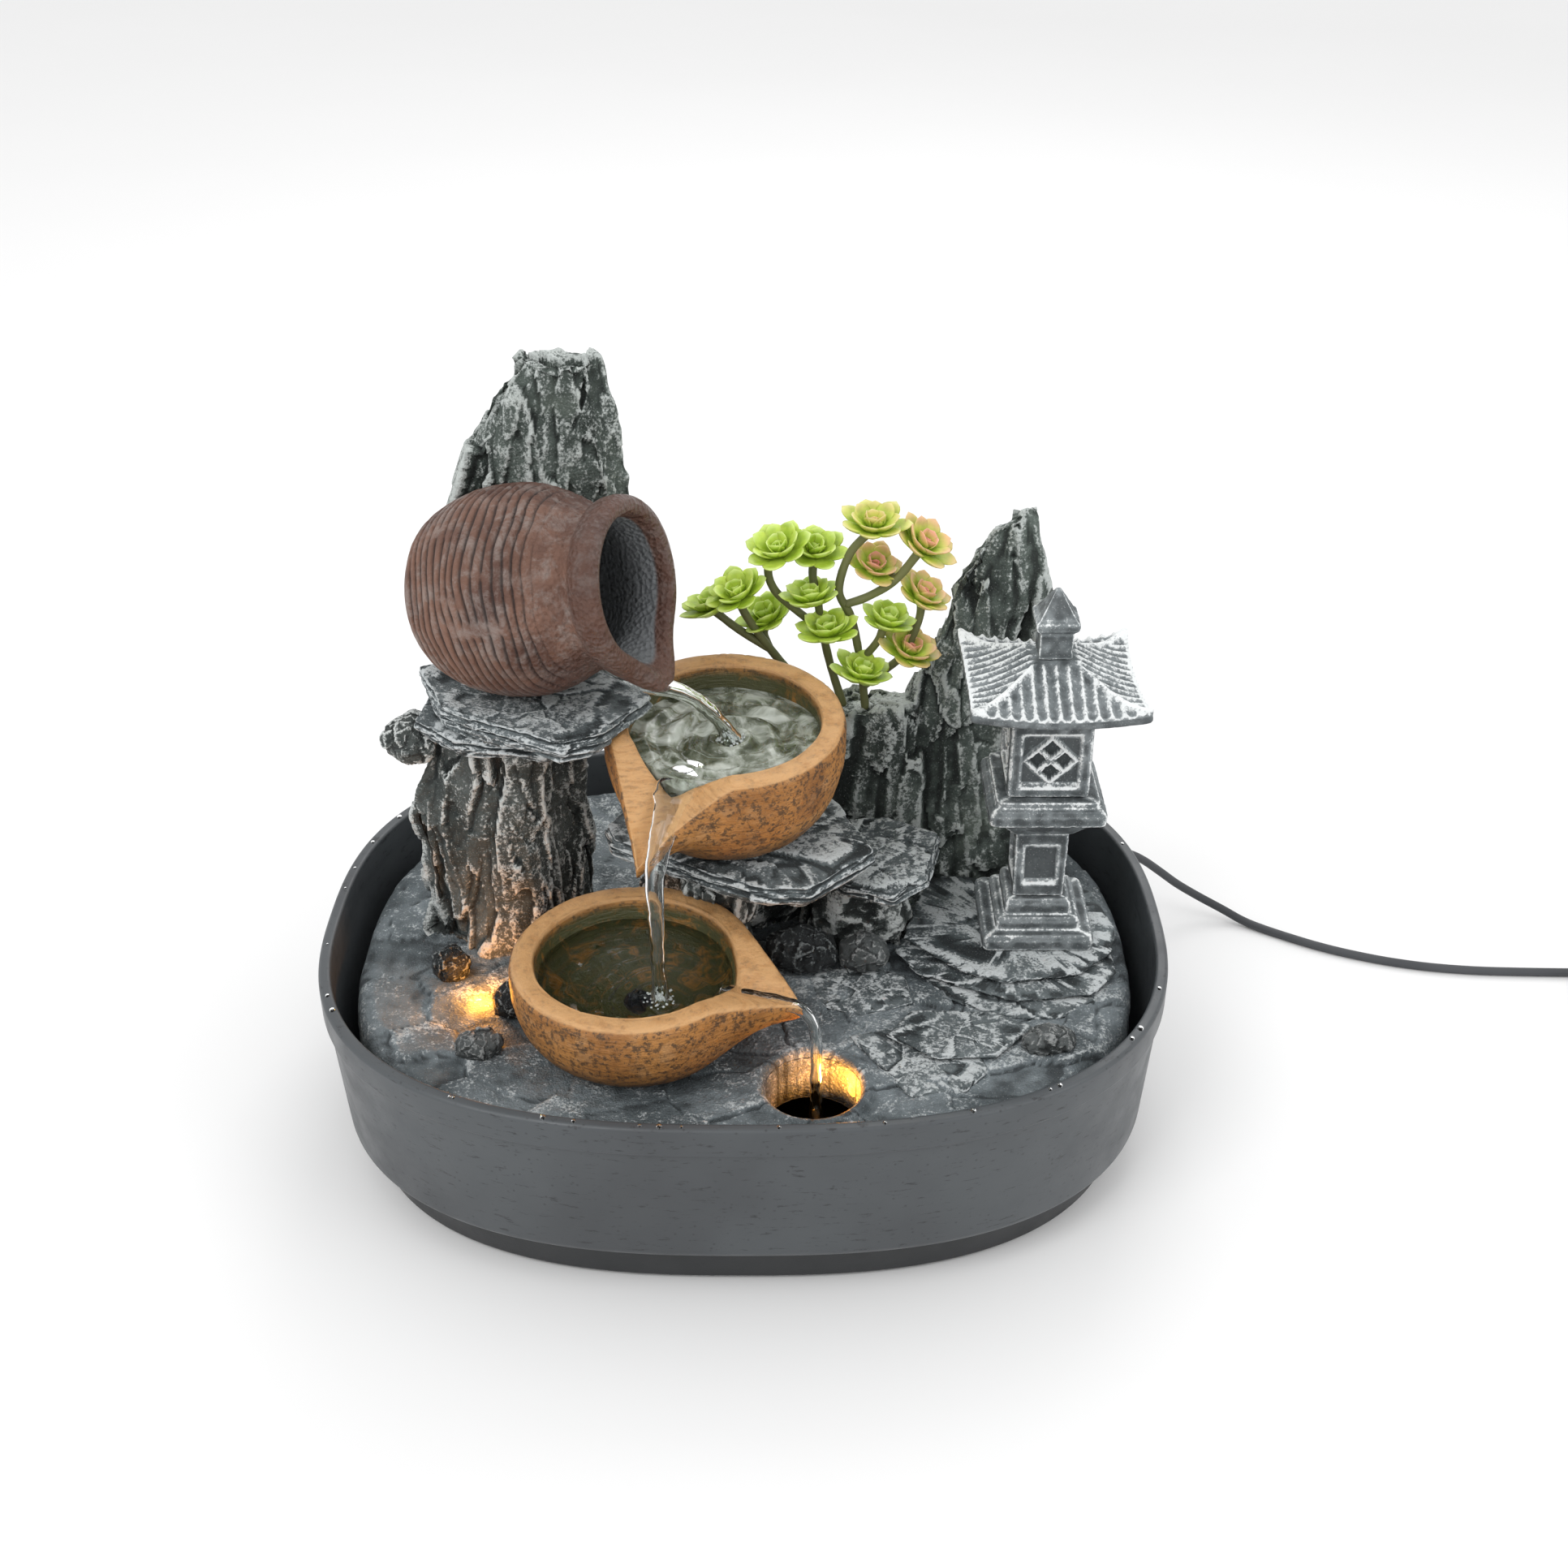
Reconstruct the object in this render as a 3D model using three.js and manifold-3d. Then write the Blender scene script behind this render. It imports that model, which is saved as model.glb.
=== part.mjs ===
// A tabletop water fountain: an oval basin holds a lift-out rockery. A small pump under the rockery
// lifts water through a riser hose into a tipped jar, which pours into an upper bowl, then a lower
// bowl, then a drain hole back to the basin. Millimetres, +Z up, front towards -Y, origin on the
// table under the middle of the basin.
import * as THREE from 'three';
import { ConvexGeometry } from 'three/addons/geometries/ConvexGeometry.js';
import { mergeVertices } from 'three/addons/utils/BufferGeometryUtils.js';
import Module from 'manifold-3d';

const wasm = await Module();
wasm.setup();

// ---- Driving dimensions ----

const GAP = 0.3; // between pieces that touch
const BASIN_WIDTH = 260;
const BASIN_DEPTH = 207;
const BASIN_HEIGHT = 66;
const CORNER_POWER = 2.6; // 2 is an ellipse, more is squarer
const BASIN_WALL = 3.4;
const BASIN_FLOOR = 4;
const RIM_WIDTH = 3.6;
const COLLAR_HEIGHT = 9.5;
const COLLAR_STEP = 1.1;
const FOOT_HEIGHT = 15;
const FOOT_INSET = 9;
const WALL_DRAFT = 2.5; // how much narrower the wall is at the foot than at the collar
const PAD_RADIUS = 6;
const PAD_STANDOFF = 1.2; // a rubber foot stands this far below the basin
const PAD_RECESS = 1.8;

const ROCKERY_GAP = 6; // between the rockery and the inside of the rim
const ROCKERY_SUNK = 12; // rockery floor below the rim
const ROCKERY_SHELL = 5;
const SKIRT_INSET = 8;
const SKIRT_WALL = 4;

const HOSE_RADIUS = 5.5;
const HOSE_BORE = 4;
const HOSE_CLEARANCE = 0.6;
const HOSE_AT = [-72, 6.5];
const NOZZLE_LENGTH = 9;

const PUMP_SIZE = [40, 34, 27];
const PUMP_CUP_HEIGHT = 4;
const CHAMBER_RADIUS = 10;
const CHAMBER_DEPTH = 13;
const STRAINER_THICK = 3;
const SHAFT_RADIUS = 1;

const DRAIN_AT = [20.5, -71.5];
const DRAIN_RADIUS = 14;
const DRAIN_TUBE_WALL = 3;
const DRAIN_TUBE_LENGTH = 10;
const LED_RADIUS = 2.5;
const LED_LENGTH = 8.6;
const LED_CLEARANCE = 0.4;
const LED_AT = [-80, -31];

const TOWER_TOP = 129.5;
const SLAB_THICK = 6.2;
const SHELF_THICK = 8.2;

const JAR_LENGTH = 64;
const JAR_RADIUS = 30.5;
const JAR_WALL = 3.6;
const JAR_BASE_AT = [-86, 12, 170];
const JAR_TURN = -21.5; // degrees towards the front
const JAR_TIP = 12.7; // degrees up at the mouth

const BOWL_RIM_WIDTH = 7.4;
const UPPER_BOWL = { at: [-5, -7, 139.7], radius: 35.5, depth: 37, tilt: 5, heading: -120,
  spout: { reach: 49, drop: 23, spread: 17 } };
const LOWER_BOWL = { at: [-31, -49, 85], radius: 36, depth: 30.6, tilt: 0, heading: -14,
  spout: { reach: 51, drop: 9, spread: 14 } };
const BOWL_PLUG_RADIUS = 4.6;
const BOWL_SLAB_TOP = 102.2;

const LANTERN_AT = [90.7, 2];
const LANTERN_STEPS = [17.2, 13, 10.2]; // half widths of the base, bottom to top
const LANTERN_STEP_HEIGHTS = [5, 4, 5];
const LANTERN_POST = 7.8;
const LANTERN_POST_HEIGHT = 23;
const LANTERN_TRAY = 17.6;
const LANTERN_HOUSE = 12.3;
const LANTERN_HOUSE_HEIGHT = 29.5;
const LANTERN_TRAY_HEIGHT = 15;
const LANTERN_EAVE = 26;
const LANTERN_ROOF_HEIGHT = 12;

const SLATE_THICK = 2;
const STEM_RADIUS = 1.3;
const ROSETTE_RADIUS = 8;

const CORD_RADIUS = 1.5;
const GROMMET_BORE = 3.9;
const GROMMET_HEIGHT = 34;
const GROMMET_ANGLE = 32.4; // degrees, superellipse parameter of the cord's exit
const RELIEF_LENGTH = 16;
const COIL_AT = [318, 32];
const CORD_MEETS_COIL = 53; // y of the cord where it reaches the coil
const COIL_RADII = [13.5, 22.5];
const COIL_HEIGHT = 12;
const PLUG_SIZE = [15, 26, 9];

// ---- Worked-out sizes ----

const halfWidth = BASIN_WIDTH / 2;
const halfDepth = BASIN_DEPTH / 2;
const basinFloorTop = PAD_STANDOFF + BASIN_FLOOR;
const rockeryHalfWidth = halfWidth - RIM_WIDTH - ROCKERY_GAP;
const rockeryHalfDepth = halfDepth - RIM_WIDTH - ROCKERY_GAP;
const ground = BASIN_HEIGHT - ROCKERY_SUNK; // top of the rockery floor
const raise = ground - 54; // the pieces above are laid out for a floor at 54
const towerTop = TOWER_TOP + raise;
const slabBottom = towerTop + GAP;
const shelfBottom = slabBottom + SLAB_THICK + GAP;
const pumpBottom = basinFloorTop + PUMP_CUP_HEIGHT + GAP;
const pumpTop = pumpBottom + PUMP_SIZE[2];

// ---- Solids ----

// A geometry as a manifold solid, whichever way round its faces were made.
function solid(geometry) {
  const bare = geometry.clone();
  bare.deleteAttribute('normal');
  bare.deleteAttribute('uv');
  const merged = mergeVertices(bare, 1e-4);
  const corners = new Uint32Array(merged.index.array);
  const at = merged.attributes.position;
  const [a, b, c] = [0, 1, 2].map(() => new THREE.Vector3());
  let volume = 0;
  for (let i = 0; i < corners.length; i += 3) {
    a.fromBufferAttribute(at, corners[i]);
    b.fromBufferAttribute(at, corners[i + 1]);
    c.fromBufferAttribute(at, corners[i + 2]);
    volume += a.dot(b.cross(c));
  }
  if (volume < 0) corners.reverse();
  return new wasm.Manifold(
    new wasm.Mesh({ numProp: 3, vertProperties: at.array, triVerts: corners })
  );
}

function geometryOf(manifold) {
  const mesh = manifold.getMesh();
  const geometry = new THREE.BufferGeometry();
  geometry.setAttribute('position', new THREE.BufferAttribute(mesh.vertProperties, 3));
  geometry.setIndex(new THREE.BufferAttribute(mesh.triVerts, 1));
  return geometry;
}

const joined = (...pieces) => pieces.reduce((whole, piece) => whole.add(piece));
const cut = (piece, ...tools) => tools.reduce((left, tool) => left.subtract(tool), piece);

// The largest body of a stone that its neighbours have trimmed.
function mainBody(manifold) {
  return manifold.decompose().sort((a, b) => b.volume() - a.volume())[0];
}

// A profile of [radius, height] points turned about Z.
function turned(profile, sides) {
  const outline = profile.map(([r, z]) => new THREE.Vector2(r, z));
  return new THREE.LatheGeometry(outline, sides).rotateX(Math.PI / 2);
}

// A turned profile drawn out to the basin's rounded oval; radii are measured along X.
function oval(profile, width, depth, sides) {
  const geometry = turned(profile, sides);
  const at = geometry.attributes.position;
  const core = width / 2;
  for (let i = 0; i < at.count; i += 1) {
    const r = Math.hypot(at.getX(i), at.getY(i));
    const angle = Math.atan2(at.getY(i), at.getX(i));
    const across = r >= core ? depth - (width - r) : ((depth - core) * r) / core;
    at.setXY(i, ...ovalPoint(angle, r, across));
  }
  return geometry;
}

function ovalPoint(angle, rx, ry) {
  const part = (value) => Math.sign(value) * Math.abs(value) ** (2 / CORNER_POWER);
  return [rx * part(Math.cos(angle)), ry * part(Math.sin(angle))];
}

const box = (w, d, h, x, y, z) => new THREE.BoxGeometry(w, d, h).translate(x, y, z + h / 2);

function rod(radius, length, x, y, z, sides = 16) {
  return turned([[0, 0], [radius, 0], [radius, length], [0, length]], sides).translate(x, y, z);
}

// A square frustum between two half widths.
function frustum(lower, upper, z, height) {
  const geometry = new THREE.CylinderGeometry(upper * Math.SQRT2, lower * Math.SQRT2, height, 4);
  return geometry.rotateY(Math.PI / 4).rotateX(Math.PI / 2).translate(0, 0, z + height / 2);
}

// A round section carried along points.
function tube(points, radius, sides, steps) {
  const section = new THREE.Shape();
  section.absarc(0, 0, radius, 0, 2 * Math.PI, false);
  const path = new THREE.CatmullRomCurve3(points.map((p) => new THREE.Vector3(...p)));
  return new THREE.ExtrudeGeometry(section, {
    steps, curveSegments: sides / 2, extrudePath: path, bevelEnabled: false,
  });
}

const hull = (points) => new ConvexGeometry(points.map((p) => new THREE.Vector3(...p)));

// ---- Stones ----

// A repeatable value from -1 to 1.
function scatter(seed, n) {
  const wave = Math.sin(seed * 127.1 + n * 311.7) * 43758.5453;
  return 2 * (wave - Math.floor(wave)) - 1;
}

const CRAG_SIDES = 7;
const CRAG_ROUGHNESS = 0.13;

// A standing rock: hulls between irregular rings. A ring is [height, x, y, half width, half depth].
function crag(rings, seed) {
  return (grow) => {
    const ring = ([z, x, y, rx, ry], level) => Array.from({ length: CRAG_SIDES }, (_, k) => {
      const angle = ((k + 0.3 * scatter(seed, k)) / CRAG_SIDES) * 2 * Math.PI;
      const reach = 1 + CRAG_ROUGHNESS * (0.7 * scatter(seed + 1, k) + 0.5 * scatter(seed + level, k));
      return [x + (rx * reach + grow) * Math.cos(angle), y + (ry * reach + grow) * Math.sin(angle), z];
    });
    const last = rings.length - 1;
    const rows = rings.map((r, level) => {
      const z = r[0] + (level === 0 ? -grow : 0) + (level === last ? grow : 0);
      return ring([z, ...r.slice(1)], level);
    });
    return joined(...rows.slice(1).map((row, level) => solid(hull([...rows[level], ...row]))));
  };
}

// A flat stone: an outline with its top and bottom edges broken away.
function slab(outline, bottom, thickness, chip = 1.2) {
  return (grow) => {
    const cx = outline.reduce((sum, p) => sum + p[0], 0) / outline.length;
    const cy = outline.reduce((sum, p) => sum + p[1], 0) / outline.length;
    const ring = (inset, z) => outline.map(([x, y]) => {
      const reach = Math.hypot(x - cx, y - cy);
      const scale = (reach - inset + grow) / reach;
      return [cx + (x - cx) * scale, cy + (y - cy) * scale, z];
    });
    const top = bottom + thickness;
    return solid(hull([
      ...ring(2 * chip, bottom - grow), ...ring(0, bottom + 0.45 * thickness), ...ring(chip, top + grow),
    ]));
  };
}

// A loose stone: a knocked-about ball with a flat seat.
function boulder([x, y, seat], [rx, ry, height], seed, turn = 0) {
  return (grow) => {
    const ball = mergeVertices(
      new THREE.IcosahedronGeometry(1, 1).deleteAttribute('uv').deleteAttribute('normal')
    );
    const at = ball.attributes.position;
    const axis = new THREE.Vector3(0, 0, 1);
    const points = Array.from({ length: at.count }, (_, k) => {
      const p = new THREE.Vector3().fromBufferAttribute(at, k).multiplyScalar(1 + 0.12 * scatter(seed, k));
      p.set(p.x * (rx + grow), p.y * (ry + grow), p.z * (height * 0.58 + grow));
      p.applyAxisAngle(axis, THREE.MathUtils.degToRad(turn));
      return [x + p.x, y + p.y, Math.max(seat - grow, seat + 0.42 * height + p.z)];
    });
    return solid(hull(points));
  };
}

// ---- Materials ----

const finish = (color, roughness, metalness = 0) => ({ color, roughness, metalness });
const FINISHES = {
  basin: finish(0x5f6265, 0.42),
  rubber: finish(0x1d1e20, 0.85),
  pump: finish(0x2a2c2f, 0.5),
  impeller: finish(0xd9d8d2, 0.5),
  steel: finish(0xb9bcc0, 0.3, 1),
  cord: finish(0x3a3c3e, 0.55),
  plug: finish(0x2b2d30, 0.45),
  rock: finish(0x555e5e, 0.85),
  terracotta: finish(0x8a5244, 0.75),
  glaze: finish(0xc07a3c, 0.6),
  lantern: finish(0x9aa0a4, 0.85),
  leaf: finish(0x9cbf4a, 0.45),
  hose: finish(0xd8dcd8, 0.35),
  led: finish(0xffb040, 0.2),
};

const group = new THREE.Group();

function add(name, material, shape) {
  const geometry = shape.isBufferGeometry ? shape : geometryOf(shape);
  const mesh = new THREE.Mesh(geometry, new THREE.MeshStandardMaterial(FINISHES[material]));
  mesh.name = name;
  group.add(mesh);
  return mesh;
}

// ---- Basin ----

const OVAL_SIDES = 44;
const wallTop = halfWidth - COLLAR_STEP;
const wallFoot = wallTop - WALL_DRAFT;
const footTop = halfWidth - FOOT_INSET;
const footBottom = footTop - 1.6;
const collarFoot = BASIN_HEIGHT - COLLAR_HEIGHT;
const wallAt = (z) => wallFoot + ((z - FOOT_HEIGHT) / (collarFoot - FOOT_HEIGHT)) * (wallTop - wallFoot);

const basinBody = solid(oval([
  [0, PAD_STANDOFF], [footBottom, PAD_STANDOFF], [footTop, FOOT_HEIGHT],
  [wallFoot - 1, FOOT_HEIGHT + 0.4], [wallFoot, FOOT_HEIGHT + 2], [wallTop, collarFoot],
  [halfWidth, collarFoot + 0.4], [halfWidth, BASIN_HEIGHT - 0.7], [halfWidth - 0.7, BASIN_HEIGHT],
  [halfWidth - RIM_WIDTH, BASIN_HEIGHT], [halfWidth - RIM_WIDTH, collarFoot],
  [wallFoot - BASIN_WALL, FOOT_HEIGHT + BASIN_WALL], [footTop - BASIN_WALL, FOOT_HEIGHT + 1],
  [footBottom - BASIN_WALL, basinFloorTop], [0, basinFloorTop],
], halfWidth, halfDepth, OVAL_SIDES));

const padSpots = [[-1, -1], [1, -1], [1, 1], [-1, 1]].map(([sx, sy]) => [
  sx * (footBottom - 34), sy * (footBottom - halfWidth + halfDepth - 26),
]);
const padRecesses = padSpots.map(([x, y]) => (
  solid(rod(PAD_RADIUS + GAP, PAD_RECESS + 1, x, y, PAD_STANDOFF - 1))
));

const exitAngle = THREE.MathUtils.degToRad(GROMMET_ANGLE);
const exitInset = halfWidth - wallAt(GROMMET_HEIGHT);
const exitPoint = ovalPoint(exitAngle, halfWidth - exitInset, halfDepth - exitInset);
const exitHeading = Math.atan2(
  exitPoint[1] ** (CORNER_POWER - 1) / halfDepth ** CORNER_POWER,
  exitPoint[0] ** (CORNER_POWER - 1) / halfWidth ** CORNER_POWER
);

// Lays something built along +Z through the wall at the cord's exit, pointing out.
const toExit = (geometry) => geometry
  .rotateY(Math.PI / 2).rotateZ(exitHeading).translate(exitPoint[0], exitPoint[1], GROMMET_HEIGHT);

const exitHole = solid(toExit(rod(GROMMET_BORE, BASIN_WALL + 10, 0, 0, -BASIN_WALL - 5)));
add('basin', 'basin', cut(basinBody, ...padRecesses, exitHole));

padSpots.forEach(([x, y], i) => {
  add(`rubber_foot_${i + 1}`, 'rubber', rod(PAD_RADIUS, PAD_STANDOFF + PAD_RECESS - 1 - GAP, x, y, 0));
});

const neck = GROMMET_BORE - GAP;
const wallGap = 0.5; // the flanges are flat and the wall is curved
const grommetTip = 1.6 + wallGap + RELIEF_LENGTH;
add('cable_grommet', 'rubber', toExit(turned([
  [0, -BASIN_WALL - 2 - wallGap], [5.2, -BASIN_WALL - 2 - wallGap], [5.2, -BASIN_WALL - 1 - wallGap],
  [neck, -BASIN_WALL - 1 - wallGap], [neck, wallGap], [5.6, wallGap], [5.2, 1.6 + wallGap],
  [3.4, 2.4 + wallGap], [2.1, grommetTip], [0, grommetTip],
], 16)));

// ---- Pump ----

const [hoseX, hoseY] = HOSE_AT;
const pumpFront = hoseY - PUMP_SIZE[1] / 2;
const chamberZ = pumpBottom + PUMP_SIZE[2] / 2;
const alongY = (geometry, y) => geometry.rotateX(Math.PI / 2).translate(hoseX, y, chamberZ);
const nozzleRadius = HOSE_BORE - GAP;
const cupSpots = [[-1, -1], [1, 1]].map(([sx, sy]) => [hoseX + sx * 13, hoseY + sy * 10]);

const pumpBody = cut(
  joined(
    solid(box(...PUMP_SIZE, hoseX, hoseY, pumpBottom)),
    solid(rod(nozzleRadius, NOZZLE_LENGTH + 1, hoseX, hoseY, pumpTop - 1))
  ),
  solid(alongY(rod(CHAMBER_RADIUS, CHAMBER_DEPTH + 1, 0, 0, 0, 24), pumpFront + CHAMBER_DEPTH)),
  solid(rod(nozzleRadius - 1.3, NOZZLE_LENGTH + PUMP_SIZE[2] / 2 + 2, hoseX, hoseY, chamberZ, 12)),
  solid(box(8, 8, 6, hoseX, pumpFront + CHAMBER_DEPTH, chamberZ - 2))
);
add('pump_housing', 'pump', pumpBody);

const shaftBack = pumpFront + CHAMBER_DEPTH - 3;
add('impeller_shaft', 'steel', alongY(rod(SHAFT_RADIUS, CHAMBER_DEPTH - 4, 0, 0, 0, 10), shaftBack));
const bladeSpan = CHAMBER_RADIUS - 1.2;
const impellerDisc = joined(
  solid(alongY(rod(bladeSpan, 1.6, 0, 0, 0, 20), shaftBack - 1)),
  solid(alongY(rod(3, CHAMBER_DEPTH - 6, 0, 0, 0, 12), shaftBack - 1)),
  ...[0, 1, 2, 3, 4].map((i) => solid(
    alongY(
      box(bladeSpan, 1, CHAMBER_DEPTH - 7, bladeSpan / 2, 0, 0).rotateZ((i / 5) * 2 * Math.PI), shaftBack - 1
    )
  ))
);
add('impeller', 'impeller', cut(
  impellerDisc, solid(alongY(rod(SHAFT_RADIUS + GAP, CHAMBER_DEPTH, 0, 0, -2, 10), shaftBack))
));

const strainerFront = pumpFront - GAP - STRAINER_THICK;
const strainerSlots = [-2, -1, 0, 1, 2].map((i) => (
  solid(box(2.2, STRAINER_THICK + 4, 11, hoseX + i * 5, strainerFront + STRAINER_THICK / 2, chamberZ - 2))
));
add('pump_strainer', 'pump', cut(
  solid(box(PUMP_SIZE[0], STRAINER_THICK, PUMP_SIZE[2] - 1, hoseX, strainerFront + STRAINER_THICK / 2,
    pumpBottom + 0.5)),
  ...strainerSlots
));
add('flow_slider', 'plug', box(12, 2, 4, hoseX - 8, strainerFront - 1 - GAP, chamberZ - 9));

cupSpots.forEach(([x, y], i) => {
  add(`suction_cup_${i + 1}`, 'rubber', turned([
    [0, 0.5], [4, GAP], [6.5, GAP], [3, PUMP_CUP_HEIGHT - 1], [3, PUMP_CUP_HEIGHT], [0, PUMP_CUP_HEIGHT],
  ], 14).translate(x, y, basinFloorTop));
});

// ---- Leads inside the basin ----

const leadStart = -BASIN_WALL - 2 - wallGap - 4 * GAP;
const inside = (along, z) => [
  exitPoint[0] + along * Math.cos(exitHeading), exitPoint[1] + along * Math.sin(exitHeading), z,
];
const floorLevel = basinFloorTop + CORD_RADIUS + 3 * GAP;
const pumpSide = hoseX + PUMP_SIZE[0] / 2 + GAP;
add('pump_lead', 'cord', tube([
  inside(leadStart, GROMMET_HEIGHT), inside(leadStart - 3.4, GROMMET_HEIGHT - 3.4),
  inside(leadStart - 4.6, GROMMET_HEIGHT - 10), inside(leadStart - 8.8, basinFloorTop + 11.9),
  inside(leadStart - 13.6, basinFloorTop + 5.6), inside(leadStart - 21, floorLevel), [64, 39, floorLevel],
  [20, 35, floorLevel], [-20, 27, floorLevel], [pumpSide + 12, hoseY + 9, floorLevel + 1],
  [pumpSide + 0.6, hoseY + 6, pumpBottom + 5],
], CORD_RADIUS, 6, 34));

// ---- Rockery shell ----

const skirtOuter = rockeryHalfWidth - SKIRT_INSET;
const skirtInner = skirtOuter - SKIRT_WALL;
const skirtFoot = basinFloorTop + GAP;
const drainTube = (radius, z, length) => solid(rod(radius, length, ...DRAIN_AT, z, 28));
const under = ground - ROCKERY_SHELL;

const ledRightHeading = THREE.MathUtils.degToRad(32);
const ledRightFrom = DRAIN_RADIUS - 1.2;
const toLedRight = (geometry) => geometry.rotateY(Math.PI / 2).rotateZ(ledRightHeading)
  .translate(...DRAIN_AT, under - 2);
const ledHoleRadius = LED_RADIUS + LED_CLEARANCE;

// Water, and the pump's lead, pass through arches in the skirt's foot.
const archBox = () => box(60, 26, 16, 0, 0, skirtFoot - 2);
const arches = [1, 2, 3, 4, 5].map((i) => (
  solid(archBox().translate(skirtOuter, 0, 0).rotateZ(exitHeading + (i / 6) * 2 * Math.PI))
));
const leadArch = solid(archBox().translate(-26, 0, 0).rotateZ(exitHeading).translate(...exitPoint, 0));
const rockeryShell = solid(oval([
  [0, ground], [rockeryHalfWidth - 6, ground], [rockeryHalfWidth - 1.6, ground - 2],
  [rockeryHalfWidth, ground - 6], [rockeryHalfWidth, ground - 14], [skirtOuter, ground - 23],
  [skirtOuter, skirtFoot], [skirtInner, skirtFoot], [skirtInner, ground - 25],
  [rockeryHalfWidth - 4.5, ground - 16], [rockeryHalfWidth - 4.5, ground - 8],
  [rockeryHalfWidth - 8, under], [0, under],
], rockeryHalfWidth, rockeryHalfDepth, OVAL_SIDES));
const ledTunnel = solid(toLedRight(rod(ledHoleRadius, 12, 0, 0, ledRightFrom - 2)));
const collarRadius = DRAIN_RADIUS + DRAIN_TUBE_WALL;
const collarLength = DRAIN_TUBE_LENGTH + ROCKERY_SHELL;
add('rockery_base', 'rock', mainBody(cut(
  rockeryShell, drainTube(collarRadius + GAP, ground - collarLength - 1, collarLength + 2), ledTunnel,
  solid(rod(HOSE_RADIUS + HOSE_CLEARANCE, 20, hoseX, hoseY, under - 5)),
  solid(rod(ledHoleRadius, 20, ...LED_AT, under - 5)),
  ...arches, leadArch
)));
add('drain_collar', 'rock', cut(
  drainTube(collarRadius, ground - collarLength, collarLength),
  drainTube(DRAIN_RADIUS, ground - collarLength - 1, collarLength + 2), ledTunnel
));

const ledProfile = [
  [0, 0], [LED_RADIUS, 0], [LED_RADIUS, LED_LENGTH - 2], [LED_RADIUS * 0.7, LED_LENGTH - 0.6],
  [0, LED_LENGTH],
];
add('led_left', 'led', turned(ledProfile, 12).translate(...LED_AT, ground - 1 - LED_LENGTH));
add('led_right', 'led', toLedRight(
  turned(ledProfile, 12).rotateX(Math.PI).translate(0, 0, ledRightFrom + LED_LENGTH)
));

const ledBack = (extra) => [
  DRAIN_AT[0] + (ledRightFrom + LED_LENGTH + extra) * Math.cos(ledRightHeading),
  DRAIN_AT[1] + (ledRightFrom + LED_LENGTH + extra) * Math.sin(ledRightHeading),
];
const LEAD_RADIUS = 0.9;
const lowLead = basinFloorTop + LEAD_RADIUS + 4 * GAP;
const ledLeftFoot = ground - 1 - LED_LENGTH - GAP;
add('led_lead_left', 'cord', tube([
  [hoseX - 12, pumpFront - 5, lowLead], [LED_AT[0] - 1, LED_AT[1] + 6, lowLead],
  [LED_AT[0], LED_AT[1], lowLead + 8], [LED_AT[0], LED_AT[1], ledLeftFoot - 8], [...LED_AT, ledLeftFoot],
], LEAD_RADIUS, 6, 16));
add('led_lead_right', 'cord', tube([
  [pumpSide + 3, pumpFront + 3, lowLead], [-20, -30, lowLead], [20, -44, lowLead],
  [...ledBack(6), lowLead + 5], [...ledBack(8), under - 12], [...ledBack(4.5), under - 3.4],
  [...ledBack(2 * GAP), under - 2],
], LEAD_RADIUS, 6, 24));

// ---- Jar ----

const neckRadius = JAR_RADIUS - 9;
const lipRadius = JAR_RADIUS - 5.5;
const jarProfile = (grow) => [
  [0, -grow], [JAR_RADIUS - 10, -grow], [JAR_RADIUS - 6.5 + grow, 2.5], [JAR_RADIUS - 1.8 + grow, 14],
  [JAR_RADIUS + grow, 27], [JAR_RADIUS - 1.8 + grow, 38], [neckRadius + 2.5 + grow, 48],
  [neckRadius + 0.4 + grow, JAR_LENGTH - 12], [lipRadius - 0.6 + grow, JAR_LENGTH - 7.5],
  [lipRadius + grow, JAR_LENGTH - 4], [lipRadius - 1.2 + grow, JAR_LENGTH - 0.8 + grow],
];
const toJar = (geometry) => geometry
  .rotateY(Math.PI / 2 - THREE.MathUtils.degToRad(JAR_TIP)).rotateZ(THREE.MathUtils.degToRad(JAR_TURN))
  .translate(JAR_BASE_AT[0], JAR_BASE_AT[1], JAR_BASE_AT[2] + raise);
// In the jar's own frame +X is down once it lies on its side, and Z runs from base to mouth.
const jarHull = (points) => solid(toJar(hull(points)));
const mirrored = (points) => points.flatMap(([x, y, z]) => [[x, y, z], [x, -y, z]]);

const jarEnvelope = solid(toJar(turned([...jarProfile(GAP), [0, JAR_LENGTH]], 24)));
const jarShell = solid(toJar(turned([
  ...jarProfile(0), [lipRadius - 5.4, JAR_LENGTH - 0.8], [neckRadius - JAR_WALL, JAR_LENGTH - 9],
  [neckRadius - JAR_WALL + 1.5, 48], [JAR_RADIUS - 2 - JAR_WALL, 38], [JAR_RADIUS - JAR_WALL, 27],
  [JAR_RADIUS - 2 - JAR_WALL, 14], [JAR_RADIUS - 10, JAR_WALL + 1], [0, JAR_WALL],
], 24)));
const jarSpout = mirrored([
  [20, 14, JAR_LENGTH - 9], [16, 17, JAR_LENGTH - 2], [lipRadius - 2, 7, JAR_LENGTH - 8],
  [lipRadius + 8, 4.6, JAR_LENGTH - 1], [lipRadius + 8.5, 4, JAR_LENGTH + 2.5], [20, 10, JAR_LENGTH + 1.5],
]);
const jarChannel = mirrored([
  [4, 11, JAR_LENGTH - 6], [4, 12, JAR_LENGTH + 8], [neckRadius - JAR_WALL - 0.5, 4, JAR_LENGTH - 14],
  [lipRadius - 5.5, 7.5, JAR_LENGTH - 4], [lipRadius + 6, 2.6, JAR_LENGTH + 1],
  [lipRadius + 9, 2.8, JAR_LENGTH + 8],
]);
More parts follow.
